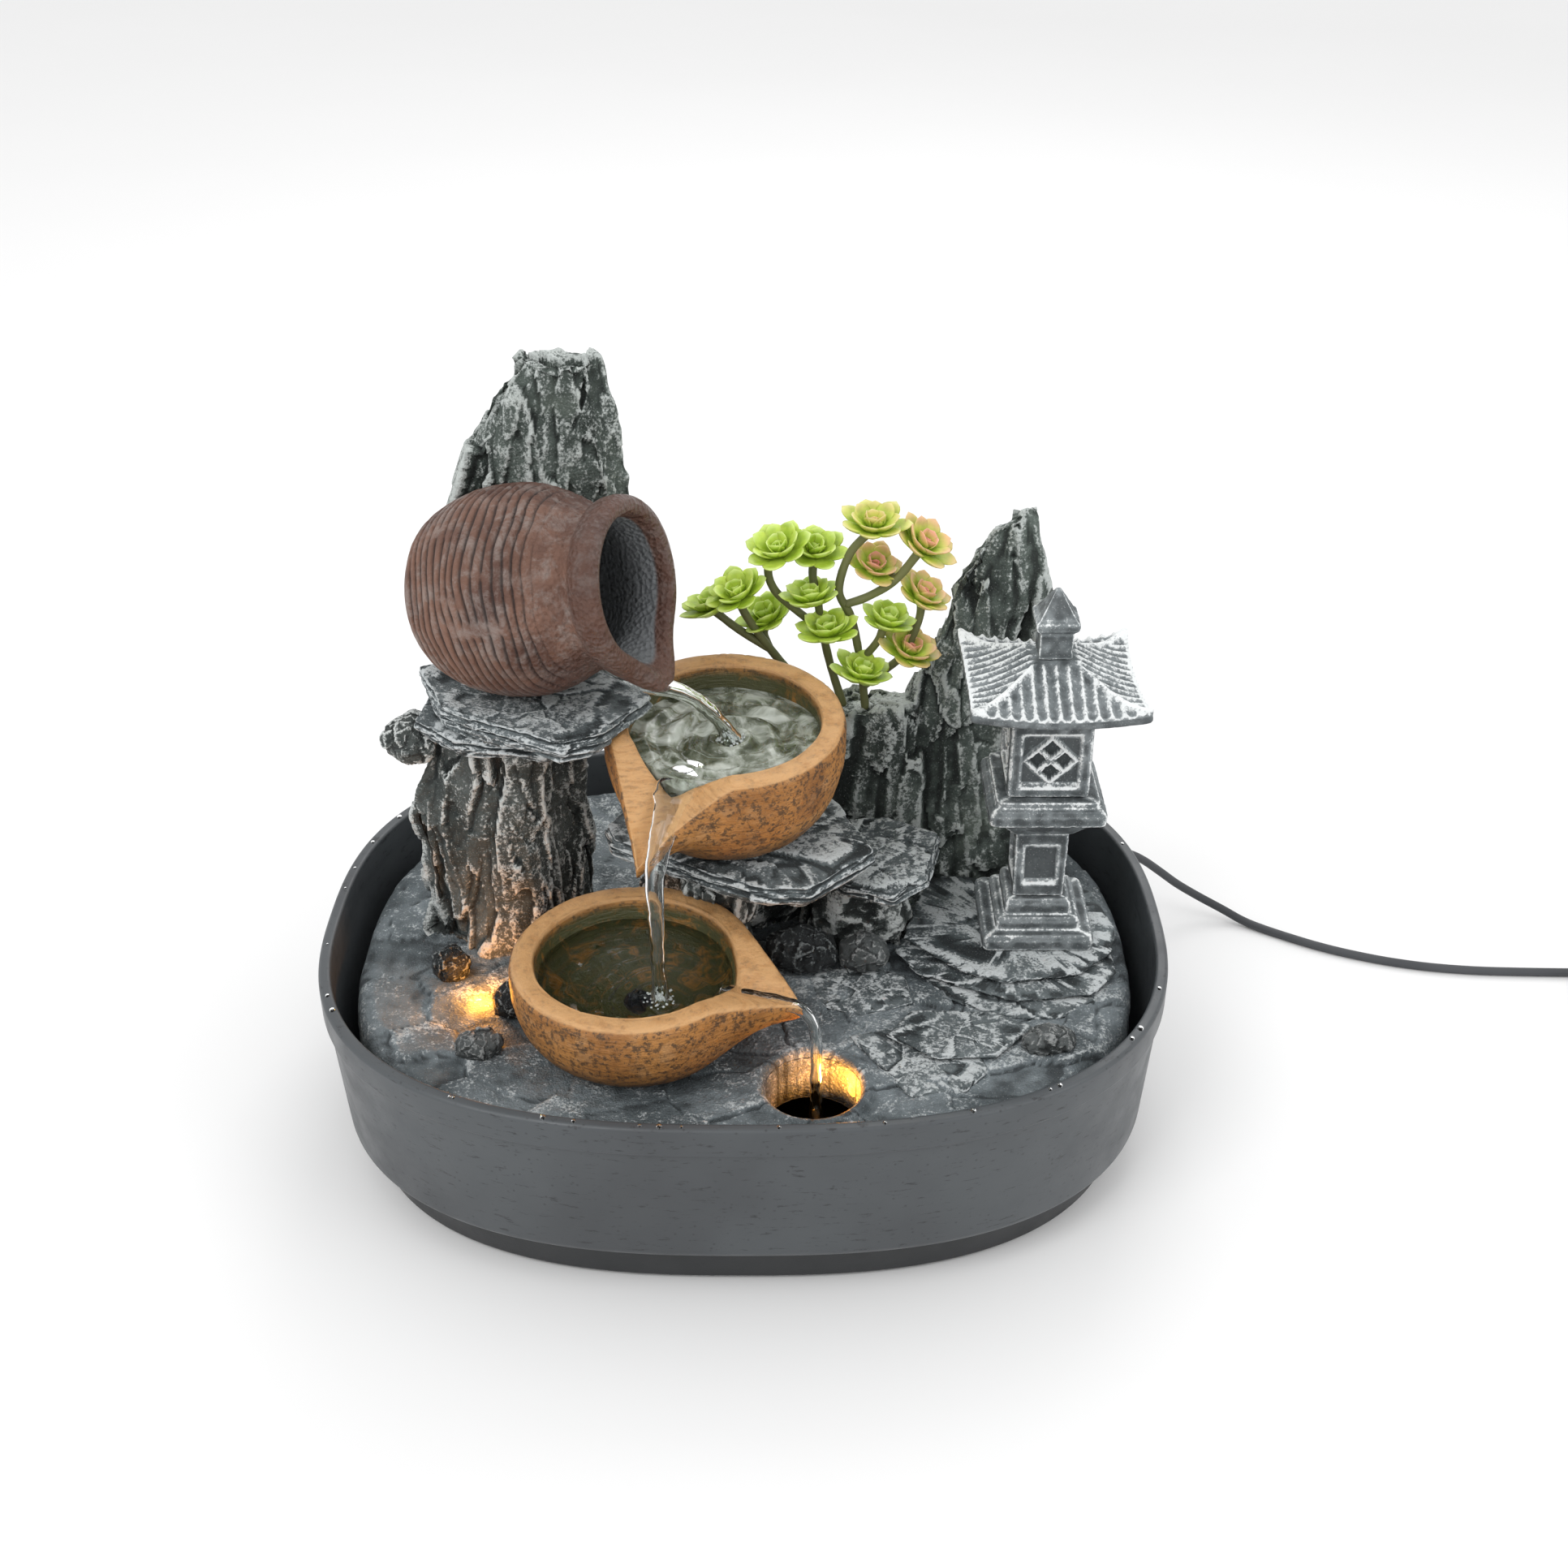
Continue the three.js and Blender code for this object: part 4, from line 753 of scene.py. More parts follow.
def cord_exit():
    """The point in the basin's wall where the cord leaves, and the direction it leaves in."""
    angle, inset = math.radians(CORD_ANGLE), HALF_WIDTH - CORD_WALL
    x, y = oval_ring(np.array(angle), HALF_WIDTH - inset, HALF_DEPTH - inset)
    power = OVAL_POWER - 1
    heading = math.atan2(y**power / HALF_DEPTH**OVAL_POWER, x**power / HALF_WIDTH**OVAL_POWER)
    return np.array([x, y, CORD_HEIGHT]), np.array([math.cos(heading), math.sin(heading), 0.0])


def lathe(name, profile, sides, place, change=None, marks=None, ring=False):
    """A profile of (radius, height) turned about Z, changed and marked where asked, then placed."""
    profile = np.asarray(profile, float)
    angle = np.linspace(0, TAU, sides, endpoint=False)
    points = np.empty((len(profile), sides, 3))
    points[..., 0] = profile[:, :1] * np.cos(angle)
    points[..., 1] = profile[:, :1] * np.sin(angle)
    points[..., 2] = profile[:, 1:]
    if change:
        points = change(points, angle)
    attributes = marks(points, angle) if marks else None
    return surface(name, place(points) * MM, ring, attributes)


def box_mm(node):
    """A solid's lowest and highest corners in millimetres."""
    return tuple(np.array(corner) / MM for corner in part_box(node))


def out_of_wall(points):
    """Lays something built along +Z through the wall at the cord's exit, pointing out."""
    at, ahead = cord_exit()
    side = np.array([-ahead[1], ahead[0], 0.0])
    down = np.array([0, 0, -1.0])
    return at + points[..., 2:] * ahead + points[..., 1:2] * side + points[..., :1] * down


def jar_place(points):
    """The jar's frame, +X down its side and +Z from base to mouth, laid on the shelf."""
    tip, turn = math.radians(JAR_TIP), math.radians(JAR_TURN)
    x, y, z = points[..., 0], points[..., 1], points[..., 2]
    ahead, rise = x * math.cos(tip) + z * math.sin(tip), -x * math.sin(tip) + z * math.cos(tip)
    return np.stack([JAR[0] + ahead * math.cos(turn) - y * math.sin(turn),
                     JAR[1] + ahead * math.sin(turn) + y * math.cos(turn), JAR[2] + rise], -1)


def bowl_place(bowl):
    """A bowl's frame, its spout along +X and its rim at height 0, turned, tilted and set in place."""
    turn, tilt = math.radians(bowl["heading"]), math.radians(bowl["tilt"])

    def place(points):
        x = points[..., 0] * math.cos(turn) - points[..., 1] * math.sin(turn)
        y = points[..., 0] * math.sin(turn) + points[..., 1] * math.cos(turn)
        z = points[..., 2]
        leaned = np.stack([x, y * math.cos(tilt) - z * math.sin(tilt),
                           y * math.sin(tilt) + z * math.cos(tilt)], -1)
        return leaned + np.array(bowl["at"])

    return place


# ---- Stage ----


class FOUNTAIN_OT_stage(bpy.types.Operator):
    """Sets up the pale floor, the soft lights and the camera"""

    bl_idname = "fountain.stage"
    bl_label = "Stage"

    def execute(self, context):
        scene = context.scene
        camera = bpy.data.objects.new("camera", bpy.data.cameras.new("camera"))
        scene.collection.objects.link(camera)
        camera.location = (0.01227, -0.50117, 0.41905)
        camera.rotation_euler = (math.radians(58.536), 0, 0)
        camera.data.lens = 44.72
        camera.data.sensor_width = 36
        camera.data.clip_start = 0.01
        scene.camera = camera
        mesh = bpy.data.meshes.new("floor")
        mesh.from_pydata([(-6, -6, 0), (6, -6, 0), (6, 6, 0), (-6, 6, 0)], [], [(0, 1, 2, 3)])
        floor = bpy.data.objects.new("floor", mesh)
        scene.collection.objects.link(floor)
        shade = settings().floor_shade

        def build(r):
            return {"Base Color": r.mix(r.noise(r.place(), 3.0), (*shade, 1),
                                        tuple(0.97 * c for c in shade) + (1,))}

        mesh.materials.append(material("studio_floor", build, Roughness=0.9, Specular_IOR_Level=0.1))
        world = bpy.data.worlds.new("studio")
        world.use_nodes = True
        world.node_tree.nodes["Background"].inputs["Color"].default_value = (1.0, 1.0, 1.0, 1)
        world.node_tree.nodes["Background"].inputs["Strength"].default_value = 1.0
        scene.world = world
        scene.view_settings.view_transform = "Standard"
        for name, place, aim, size, power in (
            ("key_light", (-0.55, -0.75, 1.15), (0, 0, 0.08), 0.6, 5.0),
            ("fill_light", (0.95, -0.55, 0.8), (0, 0, 0.08), 0.6, 2.0),
            ("rear_light", (0.2, 0.9, 1.0), (0, 0, 0.1), 0.6, 3.0),
        ):
            lamp = bpy.data.lights.new(name, "AREA")
            lamp.size, lamp.energy = size, power
            piece = bpy.data.objects.new(name, lamp)
            scene.collection.objects.link(piece)
            away = np.array(place) - np.array(aim)
            piece.location = place
            piece.rotation_euler = (math.acos(away[2] / np.linalg.norm(away)), 0,
                                    math.atan2(away[1], away[0]) + math.pi / 2)
        return {"FINISHED"}


# ---- Cord and leads ----


class FOUNTAIN_OT_power_cord(bpy.types.Operator):
    """Lays the power cord from its grommet over the floor into its coil and plug"""

    bl_idname = "fountain.power_cord"
    bl_label = "Power cord"

    def execute(self, context):
        at, ahead = cord_exit()
        start = [at + ahead * along for along in (GROMMET_TIP - 5, GROMMET_TIP + 1.2)]
        turns = len(COIL_TURNS)
        swept = np.arange(0, turns + 0.25 + 1e-6, 1 / 20)
        slots = np.array(COIL_TURNS + [COIL_TURNS[-1]], float)
        which = np.minimum(swept.astype(int), turns - 1)
        lean = smooth_step(0.72, 1.0, swept - which)[:, None]
        radius, height = ((1 - lean) * slots[which] + lean * slots[which + 1]).T
        angle = math.pi / 2 - TAU * swept
        coil = np.stack([COIL[0] + radius * np.cos(angle), COIL[1] + radius * np.sin(angle), height], -1)
        nose = [(PLUG_X, y, PLUG_Z) for y in (26.0, 20.0, 16.0)]
        line = respaced(through(np.vstack([start, CORD_ROUTE, coil, nose]), 6), step=1.2)
        cord = finish(tube("power_cord_line", line * MM, 1.5 * MM, 14), cord_sheath(), "basin", "cord_sheath",
                      "power_cord", "cord_coil")
        grip = self.plug_grip()
        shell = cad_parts["plug_shell"]
        dress(shell, bright_steel())
        self.grommet()
        return {"FINISHED"}

    @staticmethod
    def plug_grip():
        """A rounded box section whose half sizes follow its length, with grip ridges, down to the cord."""
        low = box_mm("plug_body")[0]
        along = np.concatenate([[0, 0.15, 0.6, 1.4], np.linspace(2.4, 24, 90), [25, 25.6, 26],
                                np.linspace(26.5, 33, 26)])
        body = np.interp(along, [0, 0.15, 0.6, 1.4, 24, 25, 26], [0.86, 0.93, 0.98, 1, 1, 0.93, 0.8])
        gripped = smooth_step(9, 10, along) * smooth_step(23, 22, along)
        ridges = 0.035 * gripped * (np.cos(TAU * along / 1.9) > 0.1)
        neck = along > 26
        half = np.stack([(body - ridges) * 7.5, (body - ridges) * 4.5], -1)
        ribs = 0.25 * (np.cos(TAU * (along - 26) / 2.0) > 0.0)
        half[neck] = (np.interp(along, [26, 33], [3.4, 2.1]) - ribs)[neck, None]
        angle = np.linspace(0, TAU, 56, endpoint=False)
        power = np.where(neck, 2.0, 5.0)[:, None]
        c, s = np.cos(angle)[None], np.sin(angle)[None]
        points = np.stack([PLUG_X + half[:, :1] * np.sign(c) * np.abs(c) ** (2 / power),
                           np.broadcast_to(low[1] + along[:, None], (len(along), 56)),
                           PLUG_Z - half[:, 1:] * np.sign(s) * np.abs(s) ** (2 / power)], -1)
        return finish(surface("plug_grip", points * MM), plug_plastic(), "basin", "plug_plastic", "plug_body")

    @staticmethod
    def grommet():
        """A turned sleeve through the wall: two flanges, a neck, and a ribbed cone down to the cord."""
        cone = np.linspace(3.2, GROMMET_TIP, 60)
        ribs = 0.45 * (np.cos(TAU * cone / 2.6) > 0.2) * (cone < GROMMET_TIP - 1.5)
        sleeve = np.stack([np.interp(cone, [3.2, GROMMET_TIP], [3.4, 2.1]) - ribs, cone], -1)
        profile = np.vstack([[(1.45, -5.9), (5.0, -5.9), (5.2, -5.7), (5.2, -4.9), (3.6, -4.8), (3.6, 0.45),
                              (5.5, 0.5), (5.6, 0.8), (5.2, 2.1), (3.6, 2.7)], sleeve, [(1.55, GROMMET_TIP)]])
        sleeve = lathe("grommet_sleeve", profile, 40, out_of_wall)
        return finish(sleeve, black_rubber(), "basin", "black_rubber", "cable_grommet")


class FOUNTAIN_OT_leads(bpy.types.Operator):
    """Runs the pump's lead and the two lamp leads under the rockery"""

    bl_idname = "fountain.leads"
    bl_label = "Leads under the rockery"

    def execute(self, context):
        for name, node, radius, route in LEADS:
            piece = tube(name, respaced(through(route, 8), step=1.2) * MM, radius * MM, 12)
            piece.data.materials.append(cord_sheath())
            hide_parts(node)
            if node == "pump_lead":
                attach(piece, "basin")
            else:
                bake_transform(piece)
        return {"FINISHED"}


# ---- Basin ----


class FOUNTAIN_OT_basin(bpy.types.Operator):
    """Makes the oval basin with its collar and a foot painted dark as shade, its rubber feet and the drops on
    its rim
    """

    bl_idname = "fountain.basin"
    bl_label = "Basin"

    def execute(self, context):
        profile = rounded([
            (0.5, 1.2), (119.4, 1.2), (121, 15), (125.4, 15.4), (126.4, 17), (128.9, 56.5), (130, 56.9),
            (130, 65.3), (129.3, 66), (126.4, 66), (126.3, 56.5), (123, 18.4), (117.6, 16), (116, 5.2),
            (0.5, 5.2),
        ], 1.1, 6)
        self.wall(profile)
        for i in range(1, 5):
            low, high = box_mm(f"rubber_foot_{i}")
            middle = (low + high) / 2
            pad = rounded([(0.05, 0), (5.2, 0), (6, 0.5), (6, high[2] - 0.3), (5.7, high[2]),
                           (0.05, high[2])], 0.4, 4)
            finish(lathe(f"rubber_pad_{i}", pad, 48, lambda p, m=middle: p + np.array([m[0], m[1], 0])),
                   black_rubber(), "basin", "black_rubber", f"rubber_foot_{i}")
        self.drops()
        return {"FINISHED"}

    @staticmethod
    def wall(profile):
        """The profile's radii run along X. Towards Y they shrink by the difference of the two half sizes."""
        angle = np.linspace(0, TAU, 384, endpoint=False)
        core = HALF_WIDTH / 2
        spaced = split(profile, 6.0)
        r = spaced[:, :1]
        across = np.where(r >= core, HALF_DEPTH - (HALF_WIDTH - r), (HALF_DEPTH - core) * r / core)
        points = np.empty((len(spaced), len(angle), 3))
        points[..., :2] = oval_ring(angle[None], r, across)
        points[..., 2] = spaced[:, 1:]
        # The foot attribute marks the recessed base below the body, which the basin's material paints dark as
        # shade.
        foot = smooth_step(16.5, 14.0, points[..., 2]) * (points[..., 2] > 1)
        piece = surface("basin_shell", points * MM, attributes={"foot": foot})
        finish(piece, basin_plastic(), "basin", "basin_plastic", "basin")

    @staticmethod
    def drops():
        """Small flattened domes of water scattered over the rim and the front of the collar."""
        rng = np.random.default_rng(5)
        angle = np.concatenate([rng.uniform(-2.2, -0.9, 14), rng.uniform(2.3, 3.7, 8),
                                rng.uniform(-0.6, 0.7, 8)])
        spot = np.concatenate([oval_ring(angle, 128.1, 101.6), np.full((len(angle), 1), 66.0)], -1)
        size = rng.uniform(0.35, 1.1, len(angle))[:, None, None]
        lift, round_ = np.meshgrid(np.linspace(0.02, 1, 6), np.linspace(0, TAU, 14, endpoint=False),
                                   indexing="ij")
        across = np.cos(lift[::-1] * math.pi / 2)
        dome = np.stack([np.cos(round_) * (1 - across * 0.98), np.sin(round_) * (1 - across * 0.98) * 1.25,
                         0.5 * np.sin(np.arccos(np.clip(1 - across * 0.98, 0, 1)))], -1)
        grids = (spot[:, None, None] + dome[None] * size[..., None]) * MM
        finish(copies("rim_drops", grids[:, ::-1]), water(), "basin", "water")


def copies(name, grids, attributes=None):
    """Many like grids in one mesh: the faces of one, counted on for each copy, with both ends closed."""
    count, rows, cols = grids.shape[:3]
    step = rows * cols + 2
    verts = np.concatenate([grids.reshape(count, -1, 3), grids[:, :1].mean(2), grids[:, -1:].mean(2)], 1)
    r, c = np.meshgrid(np.arange(rows - 1), np.arange(cols), indexing="ij")
    n = (c + 1) % cols
    quads = np.stack([r * cols + c, r * cols + n, (r + 1) * cols + n, (r + 1) * cols + c], -1).reshape(-1, 4)
    e, f = np.arange(cols), (np.arange(cols) + 1) % cols
    last = (rows - 1) * cols
    fans = np.vstack([np.stack([f, e, np.full(cols, step - 2)], -1),
                      np.stack([last + e, last + f, np.full(cols, step - 1)], -1)])
    shift = (np.arange(count) * step)[:, None, None]
    faces = (quads + shift).reshape(-1, 4).tolist() + (fans + shift).reshape(-1, 3).tolist()
    mesh = bpy.data.meshes.new(name)
    mesh.from_pydata(verts.reshape(-1, 3).tolist(), [], faces)
    for key, values in (attributes or {}).items():
        flat = np.broadcast_to(values, (count, rows, cols)).reshape(count, -1)
        flat = np.concatenate([flat, flat[:, :cols].mean(1, keepdims=True),
                               flat[:, -cols:].mean(1, keepdims=True)], 1)
        layer = mesh.attributes.new(key, "FLOAT", "POINT")
        layer.data.foreach_set("value", flat.reshape(-1).astype(np.float32))
    mesh.shade_smooth()
    piece = bpy.data.objects.new(name, mesh)
    bpy.context.scene.collection.objects.link(piece)
    return piece


# ---- Solids kept as they are ----


class FOUNTAIN_OT_kept_solids(bpy.types.Operator):
    """Gives the pump, its strainer and slider, the impeller and the rockery's shell their finishes"""

    bl_idname = "fountain.kept_solids"
    bl_label = "Pump and shell"

    def execute(self, context):
        for make, nodes in (
            (pump_plastic, ("pump_housing", "pump_strainer")), (pale_plastic, ("impeller",)),
            (bright_steel, ("impeller_shaft",)), (plug_plastic, ("flow_slider",)),
            (black_rubber, ("suction_cup_1", "suction_cup_2")),
            (ground_rock, ("rockery_base", "drain_collar")),
        ):
            for node in nodes:
                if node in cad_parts:
                    dress(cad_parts[node], make())
        low, high = box_mm("riser_hose")
        profile = respaced([(4, low[2]), (5.5, low[2]), (5.5, high[2]), (4, high[2]), (4, low[2] + 0.01)],
                           step=4.0)
        hose = lathe("riser_tube", profile, 40, lambda p: p + np.array([*HOSE, 0]), ring=True)
        finish(hose, clear_hose(), "rockery", "hose", "riser_hose")
        return {"FINISHED"}


# ---- Rockery floor ----


class FOUNTAIN_OT_ground(bpy.types.Operator):
    """Covers the rockery's floor with broken slate, up to the drain hole's lip and down over its edge"""

    bl_idname = "fountain.ground"
    bl_label = "Rockery floor"

    def execute(self, context):
        """Rays run out from the drain's middle to the rockery's oval edge. Each row is a share of the way."""
        angle = np.linspace(0, TAU, GROUND_RAYS, endpoint=False)
        heading = np.stack([np.cos(angle), np.sin(angle)], -1)
        near, far = np.zeros(GROUND_RAYS), np.full(GROUND_RAYS, 300.0)
        for _ in range(40):
            middle = (near + far) / 2
            spot = DRAIN + heading * middle[:, None]
            inside = (np.abs(spot / ROCKERY) ** OVAL_POWER).sum(-1) < 1
            near, far = np.where(inside, middle, near), np.where(inside, far, middle)
        share = np.linspace(0, 1, 110)[1:, None]
        edge = near - 6.0
        inner = [(13.7, 39.6), (13.7, 46), (13.7, 50), (13.8, 53), (14.2, 54.9), (15.2, 55.7), (16.4, 55.7),
                 (17.4, 55.0)]
        outer = [(17.8 + (edge - 17.8) * s, GROUND) for s in share]
        over = [(near - 3.6, 53.4), (near - 1.6, 52.4), (near - 0.5, 50.6), (near, 48.6), (near + 0.2, 46.4),
                (near + 0.2, 44), (near + 0.1, 42), (near - 1.5, 41.2), (near - 2.5, 43), (near - 7, 51)]
        rows = inner + outer + over + [(18.0, 51.0), (15.2, 49.0), (14.8, 39.5)]
        reach = np.stack([np.broadcast_to(r, GROUND_RAYS) for r, _ in rows])
        height = np.stack([np.full(GROUND_RAYS, float(z)) for _, z in rows])
        points = np.concatenate([DRAIN + heading * reach[..., None], height[..., None]], -1)
        top = np.zeros(len(rows))
        top[3:-5] = 1
        calm = top[:, None] * smooth_step(13.7, 19.0, reach)
        points[..., 2] += calm * self.relief(points) * smooth_step(near + 1.5, near - 4, reach)
        side = calm * smooth_step(52.5, 49, points[..., 2])
        push = side * (0.5 - scoops(points / 7.0, 9)) * 1.1
        points[..., :2] += push[..., None] * heading
        wear = np.clip(0.36 + 0.2 * scoops(points / 6.0, 4) + 0.3 * layered_noise(points / 5, 4, 2), 0.2, 1)
        level, gap = self.plates(points)
        # Higher plates are made paler, and the gaps between plates are painted dark as the shade in those
        # crevices.
        wear = wear + 0.16 * level - 0.3 * smooth_step(0.05, 0, gap)
        wear = wear + 0.1 * smooth_step(0.16, 0.06, gap) * (level > 0)
        piece = surface("rockery_floor", points * MM, ring=True, attributes={"wear": wear})
        finish(piece, ground_rock(), "rockery", "rock")
        return {"FINISHED"}

    @staticmethod
    def plates(points):
        """Slanted slate plates in plan: each one's height, and 0 along its edge."""
        flat = points * (1, 1, 0)
        bent = flat / (25, 19, 1) + 0.22 * layered_noise(flat / 13.0, 3, 31)[..., None]
        return shards(bent * (1, 1, 0), 12)

    def relief(self, points):
        """Plates that step at their edges, plus small hollows and grit, kept above the solid."""
        height, gap = self.plates(points)
        depth = settings().ground_relief / MM
        chips = 0.6 * (0.6 - scoops(points * (1, 1, 0) / 5.0, 7)) + 0.4 * layered_noise(points / 1.6, 3, 3)
        floor = 0.3 + 0.25 * layered_noise(points / 2.5, 3, 6)
        rise = depth * (0.95 * height + 0.4) + 0.8 * chips + 0.5 - 0.5 * smooth_step(0.05, 0, gap)
        return np.maximum(rise, floor)


# ---- Stones ----


def cast_skin(node, rows, cols, centre=None):
    """The outermost distance from a stone's middle to its solid, along directions spread over a sphere.

    The sphere is drawn out to the solid's box. For each direction the farthest crossing with the
    solid's triangles is kept, by the usual edge and determinant test."""
    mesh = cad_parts[node].data
    mesh.calc_loop_triangles()
    corners = np.empty(len(mesh.vertices) * 3)
    mesh.vertices.foreach_get("co", corners)
    index = np.empty(len(mesh.loop_triangles) * 3, int)
    mesh.loop_triangles.foreach_get("vertices", index)
    triangles = corners.reshape(-1, 3)[index.reshape(-1, 3)] / MM
    low, high = triangles.reshape(-1, 3).min(0), triangles.reshape(-1, 3).max(0)
    middle = (low + high) / 2 if centre is None else np.array(centre, float)
    fall, turn = np.meshgrid(np.linspace(0, math.pi, rows + 2)[1:-1],
                             np.linspace(0, TAU, cols, endpoint=False),
                             indexing="ij")
    ball = np.stack([np.sin(fall) * np.cos(turn), np.sin(fall) * np.sin(turn), np.cos(fall)], -1)
    ball = ball * np.maximum((high - low) / 2, 0.22 * (high - low).max() / 2)
    ahead = (ball / np.linalg.norm(ball, axis=-1, keepdims=True)).reshape(-1, 3)
    reach = np.zeros(len(ahead))
    for a, b, c in triangles:
        e1, e2, from_a = b - a, c - a, middle - a
        h = np.cross(ahead, e2)
        size = h @ e1
        safe = np.where(np.abs(size) < 1e-9, 1.0, size)
        u = (h @ from_a) / safe
        q = np.cross(from_a, e1)
        v = (ahead @ q) / safe
        t = (e2 @ q) / safe
        hit = (np.abs(size) > 1e-9) & (u >= -1e-6) & (v >= -1e-6) & (u + v <= 1 + 1e-6) & (t > 0)
        reach = np.where(hit & (t > reach), t, reach)
    reach = reach.reshape(rows, cols)
    ahead = ahead.reshape(rows, cols, 3)
    for _ in range(2):
        beside = (np.roll(reach, 1, 1) + np.roll(reach, -1, 1)) / 2
        above = np.vstack([reach[:1], reach[:-1]])
        below = np.vstack([reach[1:], reach[-1:]])
        around = (beside + (above + below) / 2) / 2
        reach = np.where(reach <= 0, around, 0.5 * reach + 0.5 * around)
    return (middle + ahead * reach[..., None])[::-1]


def chipped(points, size, depth, stretch=(1, 1, 1), layers=0.0, seed=0):
    """Broken stone: two sizes of slanted plates that step at their edges, hollows, grit and bedding lines.

    The cut along the normal is the depth times the summed value. The wear value is high on the upper side of
    each plate's edge, low in the hollows, and higher where the surface faces up."""
    normal = grid_normals(points)
    flow = points / (np.array(stretch) * size)
    flow = flow + 0.22 * np.stack([layered_noise(flow * 1.3, 3, seed + k) for k in (40, 41, 42)], -1)
    big, big_edge = shards(flow, seed)
    small, small_edge = shards(flow * (2.6, 2.6, 2.1), seed + 5)
    dents = scoops(flow * 3.4, seed + 2) - 0.6
    grit = layered_noise(points / (0.2 * size), 4, seed + 9)
    value = 0.62 * big + 0.34 * small + 0.2 * dents + 0.16 * grit
    if layers:
        bed = (points[..., 2] / layers + 0.5 * layered_noise(points / (9, 9, 6), 3, seed + 3)) % 1.0
        upright = 1 - np.abs(normal[..., 2])
        ledge = smooth_step(0.0, 0.12, bed) * smooth_step(1.0, 0.45, bed)
        value = value + upright * 0.9 * (ledge - 0.7)
    around = value
    for _ in range(5):
        rows = np.vstack([around[:1], around[:-1]]) + np.vstack([around[1:], around[-1:]])
        around = 0.25 * (rows + np.roll(around, 1, 1) + np.roll(around, -1, 1))
    proud = value - around
    edge = np.maximum(smooth_step(0.10, 0.01, big_edge), 0.7 * smooth_step(0.09, 0.01, small_edge))
    # Paler where the surface faces up, with noise.
    upward_pale = 0.22 * np.clip(normal[..., 2], 0, 1) + 0.2 * layered_noise(points / (1.6 * size), 3, seed + 31)
    wear = 0.43 + 2.6 * np.clip(proud, -0.25, 0.25) + 0.2 * value + 0.08 * edge + upward_pale
    return points + normal * (depth * np.clip(value - 0.2, -1.2, 0.35))[..., None], np.clip(wear, 0, 1)


STONES = [
    # node, material, slot, rows, columns, plate size, depth, stretch, layers, middle
    ("rock_tower", tower_rock, "rock", 174, 250, 21, 6.0, (0.75, 0.75, 2.6), 0, None),
    ("tower_spire", spire_rock, "rock", 196, 228, 21, 5.4, (0.75, 0.75, 2.3), 0, None),
    ("right_spire", spire_rock, "rock", 204, 242, 20, 5.4, (0.75, 0.75, 2.4), 0, (56, 44, 90)),
    ("centre_rock", tower_rock, "rock", 98, 166, 12, 3.0, (1, 1, 1.2), 0, (20, 12, 66)),
    ("lower_bowl_rock", tower_rock, "rock", 82, 98, 10, 2.6, (0.9, 0.9, 1.4), 0, None),
    ("shelf_boulder", tower_rock, "rock", 76, 98, 8, 1.4, (1, 1, 1), 0, None),
    ("under_slab", slate_stone, "slate", 82, 228, 10, 1.2, (1.8, 1.8, 0.35), 2.4, None),
    ("jar_shelf", slate_stone, "slate", 106, 258, 11, 1.4, (2.0, 2.0, 0.35), 2.7, None),
    ("bowl_slab", slate_stone, "slate", 98, 250, 11, 1.3, (2.0, 2.0, 0.35), 2.6, None),
    ("step_slab", slate_stone, "slate", 82, 196, 10, 1.1, (1.8, 1.8, 0.35), 2.2, None),
    *((node, slate_stone, "slate", rows, cols, 10, 0.6, (1.8, 1.8, 0.3), 0, None) for node, rows, cols in (
        ("slate_terrace", 68, 228), ("slate_second", 68, 228), ("slate_third", 68, 196),
        ("slate_front", 68, 182), ("slate_hollow", 68, 182), ("slate_back", 60, 152))),
    ("dark_boulder", dark_stone, "pebble", 82, 114, 9, 1.2, (1, 1, 1), 0, None),
    ("round_stone", pebble_stone, "pebble", 76, 98, 8, 0.8, (1, 1, 1), 0, None),
    ("cube_pebble", dark_stone, "pebble", 68, 82, 6, 0.9, (1, 1, 1), 0, None),
    ("round_pebble", dark_stone, "pebble", 68, 82, 6, 0.7, (1, 1, 1), 0, None),
    ("flat_pebble", pebble_stone, "pebble", 68, 82, 6, 0.8, (1, 1, 1), 0, None),
    ("wedge_stone", pebble_stone, "pebble", 68, 82, 6, 0.8, (1, 1, 1), 0, None),
]


class FOUNTAIN_OT_stones(bpy.types.Operator):
    """Casts a broken stone skin over each rock, slab, slate and pebble"""

    bl_idname = "fountain.stones"
    bl_label = "Rocks, slates and pebbles"

    def execute(self, context):
        scale = settings().chip_depth / CHIP_DEPTH
        for seed, (node, make, slot, rows, cols, size, depth, stretch, layers, middle) in enumerate(STONES):
            skin = cast_skin(node, rows, cols, middle)
            points, wear = chipped(skin, size, depth * scale, stretch, layers, 11 * seed + 3)
            finish(surface(f"{node}_skin", points * MM, attributes={"wear": wear}), make(), "rockery", slot,
                   node)
        return {"FINISHED"}


# ---- Jar ----


